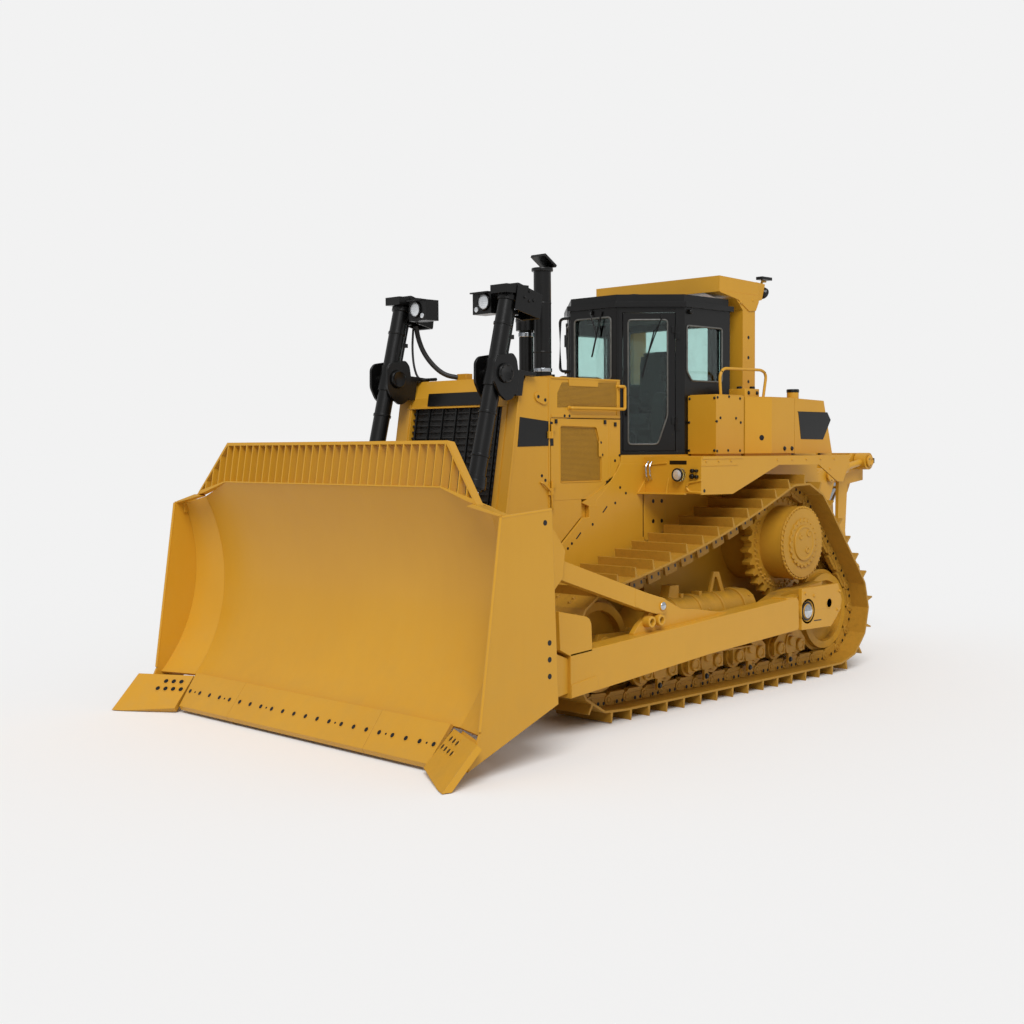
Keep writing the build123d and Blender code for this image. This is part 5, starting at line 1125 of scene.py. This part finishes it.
def dress_cab():
    """Window beads, wipers, grips, roof hatch, handles and lamps of the cab, and what is inside it."""
    beads = Mould()
    front = smooth_corners(box(-229, 2898, 229, 3484), 42, 6)
    closed_tube(beads, front, 9, lambda u, v: (u, -2252, v))
    rear = smooth_corners(box(-522, 2898, 522, 3442), 42, 6)
    closed_tube(beads, rear, 9, lambda u, v: (u, -1076, v))
    side = smooth_corners([(-1762, 2975), (-1690, 2884), (-1212, 2884), (-1212, 3399), (-1762, 3399)], 30, 6)
    closed_tube(beads, side, 9, lambda u, v: (HULL_X + 2, u, v))
    closed_tube(beads, side, 9, lambda u, v: (-HULL_X - 2, u, v))
    beads.made("window_beads", SHEEN_BEAD)
    corner = Mould()
    corner.side([(-1764, 2880), (-1764, 2975), (-1690, 2880)], 722, 744)
    corner.mirrored().made("window_corners", BLACK)

    # Cab doors
    bead, knob, wiper = Mould(), Mould(), Mould()
    pane = smooth_corners([(113, 2288), (391, 2288), (482, 2555), (482, 3452), (113, 3452)], 36, 6)
    closed_tube(bead, pane, 8, lambda u, v: on_door(u, v, 5))
    knob.turned([(0, 0), (0, 16), (10, 16), (12, 11), (34, 11), (38, 17), (46, 17), (48, 0)],
                [on_door(86, 2990, 4)], DOOR_OUT, 24)
    knob.tube(rounded([on_door(92, 2760, 4), on_door(92, 2760, 46), on_door(92, 2560, 46),
                       on_door(92, 2560, 4)], 20), 8)
    wiper.tube([on_door(430, 3478, 14), on_door(360, 3300, 22), on_door(300, 3130, 16)], 6)
    wiper.plate(box(-7, -230, 7, 230), on_door(300, 3130, 6), (DIAGONAL, DIAGONAL, 0), (0.18, 0.18, 0.97), 0,
                9)
    wiper.turned([(0, 0), (0, 20), (18, 18), (20, 0)], [on_door(430, 3478, 4)], DOOR_OUT, 20)
    bead.pair("door_bead_{}", SHEEN_BEAD, 0, "cab_door_{}")
    knob.pair("door_handle_{}", BLACK, 0, "cab_door_{}")
    wiper.pair("door_wiper_{}", BLACK, 0, "cab_door_{}")

    # Mirror, front wiper, roof hatch, marker lamps and the rear grip
    black = Mould()
    grip = rounded([(-286, -2236, 3508), (-410, -2262, 3508), (-410, -2262, 3000), (-286, -2236, 3000)], 46,
                   7)
    black.tube(grip, 14, 12)
    black.turned([(0, 0), (0, 22), (20, 22), (24, 0)], [(-13, -2250, 3540)], -Y, 24)
    black.tube([(-13, -2272, 3540), (30, -2276, 3430), (60, -2268, 3330)], 7, 10, X)
    black.plate(box(-8, -220, 8, 220), (60, -2256, 3330), X, (0.28, 0, 0.96), 0, 10)
    hatch = smooth_corners(box(-300, -1980, 300, -1420), 50)
    black.top(hatch, 3690, -2, 22)
    black.top(smooth_corners(box(-260, -1940, 260, -1460), 40), 3712, -2, 9)
    for k in range(6):
        place = np.array(on_door(452 + 21 * k, 3548, -2))
        black.turned([(0, 0), (0, 8), (6, 6), (8, 0)], [place, place * [-1, 1, 1]],
                     [DOOR_OUT, (-DIAGONAL, -DIAGONAL, 0)], 12)
    for x, axis in ((HULL_X, X), (-HULL_X, -X)):
        black.turned(button(0, 24, 26, 34, 16), [(x, -1722, 3530)], axis, 24)
    black.tube(rounded([(-700, -1076, 3000), (-700, -1030, 3000), (-700, -1030, 3400), (-700, -1076, 3400)],
                       30), 10, 10)
    black.made("cab_fittings", BLACK, 1.5)
    seams = Mould()
    for x in (-300, 300):
        seams.front(box(x - 3, 2225, x + 3, 3565), CAB_Y, -2, 3)
    seams.plate(box(-745, 3556, 745, 3566), (0, -1078, 0), -X, Z, -2, 4)
    seams.made("cab_seams", BLACK)

    # What shows through the windows
    inside = Mould()
    for sign in (1, -1):
        console = smooth_corners([(-1780, 2222), (-1180, 2222), (-1180, 2740), (-1400, 2800), (-1700, 2790),
                                  (-1780, 2700)], 40)
        inside.side(console, *sorted((sign * 330, sign * 470)))
    dash = smooth_corners([(-2150, 2222), (-1960, 2222), (-1980, 2600), (-2040, 2800), (-2120, 2860),
                           (-2170, 2820)], 30)
    inside.side(dash, -230, 230)
    inside.top(box(-240, -1320, 240, -1140), 2222, 0, 340)
    inside.top(smooth_corners(box(-600, -1700, 600, -1150), 60), 3500, 0, 60)
    for x, y, height, lean_y in ((400, -1650, 190, -0.25), (-400, -1650, 170, -0.2), (-400, -1500, 120, 0.1)):
        axis = unit(np.array([0, lean_y, 1]))
        stick = [(0, 0), (0, 30), (20, 24), (40, 11), (height - 70, 11), (height - 55, 22), (height - 10, 26),
                 (height, 14), (height + 4, 0)]
        inside.turned(stick, [(x, y, 2780)], axis, 20)
    for x in (-150, 150):
        inside.plate(box(x - 55, -60, x + 55, 60), (0, -1990, 2330), X, (0, -0.6, 0.8), 0, 12)
    inside.made("cab_inside", TRIM, 4)
    pillar = Mould().tube([(-560, -1150, 2300), (-560, -1150, 3450)], 26, 16, X)
    pillar.tube([(560, -1150, 2300), (560, -1150, 3450)], 26, 16, X)
    pillar.made("cab_posts", TRIM)


def pad(name, low, high):
    """One stuffed cushion of the seat: a rounded slab, blown up as cloth and then held inside its room."""
    low, high = stored(low), stored(high)
    middle, half = (low + high) / 2, (high - low) / 2
    up, thin = (1, 2) if half[2] < half[1] else (2, 1)
    slab = half * ([0.95, 0.95, 0.86] if thin == 2 else [0.95, 0.80, 0.95])
    shape = bmesh.new()
    bmesh.ops.create_cube(shape, size=2.0)
    bmesh.ops.scale(shape, vec=slab, verts=shape.verts)
    bmesh.ops.bevel(shape, geom=shape.edges[:], offset=float(half.min()) * 0.55, segments=4, affect="EDGES")
    bmesh.ops.translate(shape, vec=middle, verts=shape.verts)
    mesh = bpy.data.meshes.new(name)
    shape.to_mesh(mesh)
    shape.free()
    piece = linked(name, mesh)
    remesh = piece.modifiers.new("grain", "REMESH")
    remesh.mode = "VOXEL"
    remesh.voxel_size = 0.006
    applied(piece)
    rest = np.array([vertex.co for vertex in piece.data.vertices])
    cloth = piece.modifiers.new("stuffing", "CLOTH")
    cloth.settings.use_pressure = True
    cloth.settings.uniform_pressure_force = 4.0
    cloth.settings.effector_weights.gravity = 0.0
    cloth.settings.tension_stiffness = 12.0
    cloth.settings.compression_stiffness = 12.0
    for step in range(1, 21):
        bpy.context.scene.frame_set(step)
    applied(piece)
    bpy.context.scene.frame_set(1)
    moved = np.array([vertex.co for vertex in piece.data.vertices]) - rest
    far = np.linalg.norm(moved, axis=1, keepdims=True)
    swollen = rest + moved * np.minimum(1.0, 0.018 / np.maximum(far, 1e-6))
    share = (swollen - middle) / half
    for along, across, depth in ((0, up, 0.10), (up, 0, 0.07)):
        for line in (-0.36, 0.36):
            groove = np.exp(-((share[:, along] - line) / 0.055) ** 2) * (np.abs(share[:, across]) < 0.82)
            on_face = np.abs(share[:, thin]) > 0.5
            swollen[:, thin] -= np.sign(share[:, thin]) * half[thin] * depth * groove * on_face
    swollen = np.clip(swollen, low + 0.001, high - 0.001)
    piece.data.vertices.foreach_set("co", swollen.ravel())
    piece.data.update()
    smooth = piece.modifiers.new("smooth", "SUBSURF")
    smooth.levels = smooth.render_levels = 1
    piece.data.materials.append(CLOTH)
    piece.data.shade_smooth()
    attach(piece, "chassis")


def applied(piece):
    """Puts the outcome of the piece's modifiers into its mesh."""
    shown = piece.evaluated_get(bpy.context.evaluated_depsgraph_get())
    mesh = bpy.data.meshes.new_from_object(shown)
    piece.modifiers.clear()
    piece.data = mesh


def dress_seat():
    """The driver's seat: a padded cushion and back on a shaped pedestal with arm rests."""
    pad("seat_cushion", (-250, -1700, 2446), (250, -1200, 2590))
    pad("seat_back", (-235, -1330, 2600), (235, -1184, 3235))
    base = Mould()
    foot = [(0, 0), (0, 178), (18, 178), (40, 120), (150, 112), (190, 150), (206, 176), (206, 0)]
    base.turned(foot, [(0, -1440, 2222)], Z, 40)
    base.top(smooth_corners(box(-215, -1660, 215, -1230), 40), 2424, 0, 26)
    base.plate(smooth_corners(box(-60, 2450, 60, 3000), 20), (0, -1185, 0), -X, Z, -8, 4)
    for x in (-252, 232):
        arm = smooth_corners([(-1560, 2700), (-1300, 2700), (-1230, 2640), (-1230, 2720), (-1290, 2760),
                              (-1560, 2760)], 14)
        base.side(arm, x, x + 20)
    made = base.made("seat_base", TRIM, 3)
    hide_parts("operator_seat")


def dress_canopy():
    """Holes, bolts and gussets of the canopy, and its rear lamps on their brackets."""
    holes("canopy_bolts", on_side(CANOPY_X, [(-820, 3333), (-820, 3136), (-820, 2900)]), X, 17)
    hex_bolts("canopy_heads", on_side(CANOPY_X, [(-958, 3668), (-760, 3700)]), X, 14, YELLOW)
    gusset = [(-1295, 3742), (-1296, 3752), (-660, 3752), (-655, 3690), (-706, 3600), (-820, 3590),
              (-1000, 3690)]
    side_shape("canopy_gussets", gusset, CANOPY_X - 1, CANOPY_X + 9, YELLOW, 2)
    bracket = Mould()
    bracket.side([(-655, 3890), (-500, 3872), (-470, 3930), (-395, 3935), (-395, 3912), (-452, 3906),
                  (-478, 3850), (-540, 3720), (-655, 3700)], 690, 702)
    bracket.side([(-655, 3890), (-505, 3880), (-560, 3720), (-655, 3700)], 750, 762)
    bracket.front(box(650, 3704, 783, 3880), -640, 0, 12)
    bracket.mirrored().made("rear_brackets", YELLOW, 2)
    lamps = Mould()
    body = [(-30, 0), (-30, 30), (-10, 56), (20, 60), (26, 56), (26, 50), (20, 48), (20, 0)]
    place, aim = np.array([728, -500, 3800]), np.array([0, 0.94, -0.34])
    lamps.turned(body, [place], aim, 32)
    lamps.side([(-566, 3925), (-566, 3955), (-393, 3955), (-393, 3925)], 694, 770)
    lamps.mirrored().made("rear_lamps", BLACK, 1)
    glass = Mould().turned([(0, 0), (0, 48), (6, 42), (10, 22), (11, 0)], [place + aim * 20], aim, 32)
    glass.mirrored().made("rear_lenses", LENS)


# Fenders, boxes and tank

def dress_fenders():
    """Step loops, lamp lenses, edge bolts, box bolts, caps and rails."""
    step = Mould().tube(rounded([(1392, -2396, 1966), (1251, -2402, 1944), (1229, -2402, 1900),
                                 (1266, -2402, 1862), (1392, -2396, 1862)], 22, 6), 11, 12)
    step.mirrored().made("step_loops", YELLOW)
    ledge = Mould()
    ledge.top([(745, -2394), (745, -2500), (1000, -2440), (1230, -2425), (1230, -2394)], 1838, 0, 14)
    ledge.side([(-2396, 1850), (-2498, 1850), (-2396, 1965)], 746, 762)
    ledge.side([(-2396, 1850), (-2436, 1850), (-2396, 1990)], 1020, 1030)
    ledge.front([(745, 2090), (1010, 2112), (1010, 2128), (745, 2106)], FENDER_Y, -2, 9)
    ledge.front(box(1232, 1850, 1392, 1860), FENDER_Y, -2, 12)
    ledge.mirrored().made("front_ledges", YELLOW, 1.5)
    dark = Mould()
    dark.front(box(1040, 2105, 1230, 2140), FENDER_Y, -2, 2)
    for x, z, radius in ((1300, 2050, 18), (1345, 2050, 14), (1296, 2000, 22), (1347, 1998, 16)):
        dark.turned(button(-2, radius, 26, 30, radius - 4), [(x, FENDER_Y, z)], -Y, 20)
    dark.turned([(-2, 50), (-2, 60), (6, 61), (12, 58), (12, 50), (-2, 50)], [(1166, -2446, 2014)], -Y, 40)
    dark.mirrored().made("fender_fittings", BLACK, 1)
    tubes = Mould()
    for x, y, low, radius in ((800, -2440, 2000, 9), (840, -2436, 2010, 7)):
        bent = rounded([(x, -2400, 2130), (x, y, 2090), (x + 6, y, low), (x, -2404, low - 40)], 26)
        tubes.tube(bent, radius)
    tubes.mirrored().made("front_lines", CHROME)
    glass = Mould().turned([(0, 0), (0, 50), (7, 46), (14, 28), (16, 0)], [(1166, -2447, 2014)], -Y, 40)
    glass.mirrored().made("fender_lenses", LENS)
    row = [(-2327, 2137), (-2142, 2137), (-1952, 2137), (-1217, 2137), (-970, 2137), (-724, 2137),
           (-474, 2137), (-230, 2137)]
    hex_bolts("deck_bolts", on_side(DECK_X, row + [(-302, 2040)]), X, 9, YELLOW)
    holes("skirt_holes", on_side(DECK_X, [(-2350, 1874)]), X, 16)
    fold = Mould()
    fold.side(box(-2394, 2090, -1850, 2097), DECK_X - 1, DECK_X + 3)
    fold.side(box(-2380, 2152, -1776, 2176), 1300, DECK_X + 4)
    for y in np.arange(-2330, -1800, 90):
        fold.top(box(790, y, 1370, y + 8), 2172, -1, 4)
    fold.mirrored().made("deck_treads", YELLOW, 1)

    # Side boxes and tank
    side_row = [(-1728, 2718), (-1739, 2496), (-1683, 2529), (-1735, 2222), (-1549, 2728), (-1373, 2714),
                (-1437, 2528), (-1361, 2488), (-1561, 2226), (-1372, 2223)]
    hex_bolts("box_side_bolts", on_side(BOX_X, side_row), X, 9, BLACK)
    front_row = [(770, -1750, 2712), (764, -1750, 2490), (764, -1750, 2226), (1056, -1750, 2712),
                 (1056, -1750, 2226)]
    hex_bolts("box_front_bolts", front_row, -Y, 9, BLACK)
    hex_bolts("tank_low_bolts", on_side(TANK_X, [(-782, 2240), (-655, 2240)]), X, 15, BLACK)
    angle = unit(np.array([290, -105, 0]))
    holes("tank_plugs", [(1075 + 105 * 0.62, -1290 + 290 * 0.62, 2345)], angle, 26, 3)
    seams = Mould()
    for outline in (box(-1312, 2200, -1300, 2735), box(-620, 2200, -606, 2722)):
        seams.side(outline, 900, 1060)
    seams.mirrored().made("box_seams", BLACK)
    trim = Mould()
    trim.top(smooth_corners(box(760, -1740, 1068, -1316), 14), 2740, -2, 7)
    trim.top(smooth_corners([(800, -1278), (1070, -1278), (1168, -1000), (1168, -620), (800, -620)], 14),
             2730, -2, 6)
    trim.top(smooth_corners(box(862, -1262, 1062, -1030), 18), 2734, 0, 78)
    trim.turned(rod(0, 66, 58), [(1100, -520, 2724)], Z, 32)
    trim.mirrored().made("box_lids", YELLOW, 3)
    hex_bolts("lid_bolts", on_side(1062, [(-1215, 2772), (-1078, 2772)]), X, 13, BLACK)
    caps = Mould()
    caps.turned(button(0, 62, 26, 32, 56), [(1100, -520, 2790)], Z, 12)
    caps.turned(button(0, 26, 22, 26, 20), [(930, -1180, 2812), (1010, -1080, 2812)], Z, 24)
    caps.mirrored().made("tank_caps", BLACK, 1.5)
    side_shape("tank_plates", [(-560, 2602), (-20, 2600), (44, 2524), (-98, 2327), (-497, 2332),
                               (-545, 2590)], TANK_X - 1, TANK_X + 3, BLACK, 0.6)
    rails = Mould().tube(rounded([(1040, -1630, 2742), (1040, -1647, 2925), (1040, -1590, 2992),
                                  (1040, -960, 2997), (1040, -890, 2957), (1040, -940, 2734)], 50, 7), 14, 14,
                         X)
    rails.mirrored().made("box_rails", YELLOW)
    ring = Mould()
    t = np.linspace(0, 2 * math.pi, 25)
    ring.tube(np.stack([np.full(25, 1060), 150 + 34 * np.cos(t), 2235 + 34 * np.sin(t)], -1), 9, 10, X)
    ring.side(box(20, 2168, 240, 2210), 1045, 1075)
    ring.mirrored().made("lifting_rings", YELLOW, 1)
    rear = Mould()
    rear.plate(box(-600, 760, 600, 1500), (0, 520, 0), -X, Z, -2, 8)
    rear.made("case_cover", YELLOW_CAST, 3)
    spots = [(x, 528, z) for x in (-570, -285, 0, 285, 570) for z in (790, 1470)]
    spots += [(x, 528, z) for x in (-570, 570) for z in (960, 1130, 1300)]
    hex_bolts("case_bolts", spots, Y, 12, YELLOW_CAST, both=False)


# Ripper

def dress_ripper():
    """Pin heads with their bolts, the carriage's face plate and its two lamps."""
    head = [(-2, 0), (-2, 66), (12, 66), (18, 58), (18, 30), (12, 26), (12, 0)]
    for body, places in (("chassis", [(650, 906, 1934), (650, 620, 729)]),
                         ("ripper_carriage", [(600, 1807, 2085), (600, 1520, 880)])):
        heads = Mould().turned(head, places, X, 32)
        heads.mirrored().made(body + "_pin_heads", YELLOW, 1, body)
        rings = [on_ring(x + 12, (y, z), 46, 3, 0.5) for x, y, z in places]
        hex_bolts(body + "_pin_bolts", np.concatenate(rings), X, 8, BLACK, body)
    shank = Mould()
    for z in (1960, 2040):
        shank.turned(button(-2, 30, 16, 20, 24), [(0, 1913, z)], Y, 24)
    shank.plate(smooth_corners(box(-420, 1890, 420, 2168), 16), (0, 1927, 0), -X, Z, -2, 6)
    shank.made("carriage_face", YELLOW, 2, "ripper_carriage")
    dark = Mould().plate(smooth_corners(box(545, 2060, 590, 2120), 8), (0, 1911, 0), -X, Z, 0, 22)
    dark.mirrored().made("ripper_lamps", BLACK, 1, "ripper_carriage")


dress_tracks()
dress_undercarriage()
dress_blade()
dress_arms()
dress_cylinders()
dress_hoses()
dress_body()
dress_stack()
dress_cab()
dress_seat()
dress_canopy()
dress_fenders()
dress_ripper()


# Floor, light and camera

def camera_only(name, seen, shaded):
    """A floor whose tone for the eye and for mirrors differs from the tone that lights the machine."""
    made = Finish(name)
    rays = made.node("ShaderNodeLightPath", {}, {}, "Is Camera Ray").socket.node
    eye = Value(made, rays.outputs["Is Camera Ray"])
    mirror = Value(made, rays.outputs["Is Glossy Ray"])
    through = Value(made, rays.outputs["Is Transmission Ray"])
    share = (eye + mirror + through).clamped()
    grain = made.noise(3.0, 2.0, 0.5)
    tone = made.mixed(share, (shaded, shaded, shaded, 1.0), (seen, seen, seen, 1.0))
    return made.close(Base_Color=tone, Roughness=((grain - 0.5) * 0.05 + 0.9).clamped(),
                      Specular_IOR_Level=0.0)


def stage():
    """A level floor far larger than the view, shaded only by the machine."""
    rows = np.linspace(-FLOOR_REACH, FLOOR_REACH, 9)
    points = np.stack(np.meshgrid(rows, rows, [0.0], indexing="ij"), -1).reshape(9, 9, 3)
    sun = np.array(SUN_TURN) / np.linalg.norm(SUN_TURN)
    light_on_floor = (SKY_POWER + SUN_POWER / math.pi * sun[2]) / FLOOR_LOSS
    floor = surface("floor", points, camera_only("floor_paint", BACKGROUND / light_on_floor, FLOOR_BOUNCE))


def surface(name, points, finish):
    """A grid of points, rows by columns, as a mesh of four-sided faces facing rows x columns."""
    rows, columns = points.shape[:2]
    index = np.arange(rows * columns).reshape(rows, columns)
    faces = np.stack([index[:-1, :-1], index[1:, :-1], index[1:, 1:], index[:-1, 1:]], -1).reshape(-1, 4)
    mesh = bpy.data.meshes.new(name)
    mesh.from_pydata(points.reshape(-1, 3).tolist(), [], faces.tolist())
    mesh.materials.append(finish)
    return linked(name, mesh)


def light_and_sky():
    """One broad sun from the front and above, and an even sky."""
    world = bpy.data.worlds.new("studio")
    bpy.context.scene.world = world
    world.use_nodes = True
    tree = world.node_tree
    tree.nodes.clear()
    rays = tree.nodes.new("ShaderNodeLightPath")
    most = tree.nodes.new("ShaderNodeMath")
    most.operation = "MAXIMUM"
    tree.links.new(rays.outputs["Is Camera Ray"], most.inputs[0])
    tree.links.new(rays.outputs["Is Transmission Ray"], most.inputs[1])
    sky = tree.nodes.new("ShaderNodeBackground")
    sky.inputs["Strength"].default_value = SKY_POWER
    seen = tree.nodes.new("ShaderNodeBackground")
    seen.inputs["Color"].default_value = (BACKGROUND, BACKGROUND, BACKGROUND, 1.0)
    mix = tree.nodes.new("ShaderNodeMixShader")
    out = tree.nodes.new("ShaderNodeOutputWorld")
    tree.links.new(most.outputs[0], mix.inputs[0])
    tree.links.new(sky.outputs[0], mix.inputs[1])
    tree.links.new(seen.outputs[0], mix.inputs[2])
    tree.links.new(mix.outputs[0], out.inputs[0])
    lamp = bpy.data.lights.new("sun", "SUN")
    lamp.energy = SUN_POWER
    lamp.angle = math.radians(32.0)
    holder = linked("sun", lamp)
    holder.rotation_euler = Vector(SUN_TURN).to_track_quat("Z", "Y").to_euler()
    bpy.context.scene.view_settings.view_transform = "Standard"


def camera():
    """The photograph's viewpoint, fitted to the track's gauge and pitch."""
    eye = bpy.data.cameras.new("camera")
    eye.lens = CAMERA_LENS
    eye.sensor_width = 36.0
    eye.sensor_fit = "HORIZONTAL"
    eye.clip_end = 2000.0
    holder = linked("camera", eye)
    yaw, pitch, roll = (math.radians(turn) for turn in CAMERA_TURNS)
    ahead = Vector((-math.sin(yaw) * math.cos(pitch), math.cos(yaw) * math.cos(pitch), -math.sin(pitch)))
    right = Vector((math.cos(yaw), math.sin(yaw), 0.0))
    up = right.cross(ahead)
    side = right * math.cos(roll) + up * math.sin(roll)
    top = up * math.cos(roll) - right * math.sin(roll)
    turn = Matrix((side, top, -ahead)).transposed().to_4x4()
    holder.matrix_world = Matrix.Translation(CAMERA_PLACE) @ turn
    bpy.context.scene.camera = holder


stage()
light_and_sky()
camera()
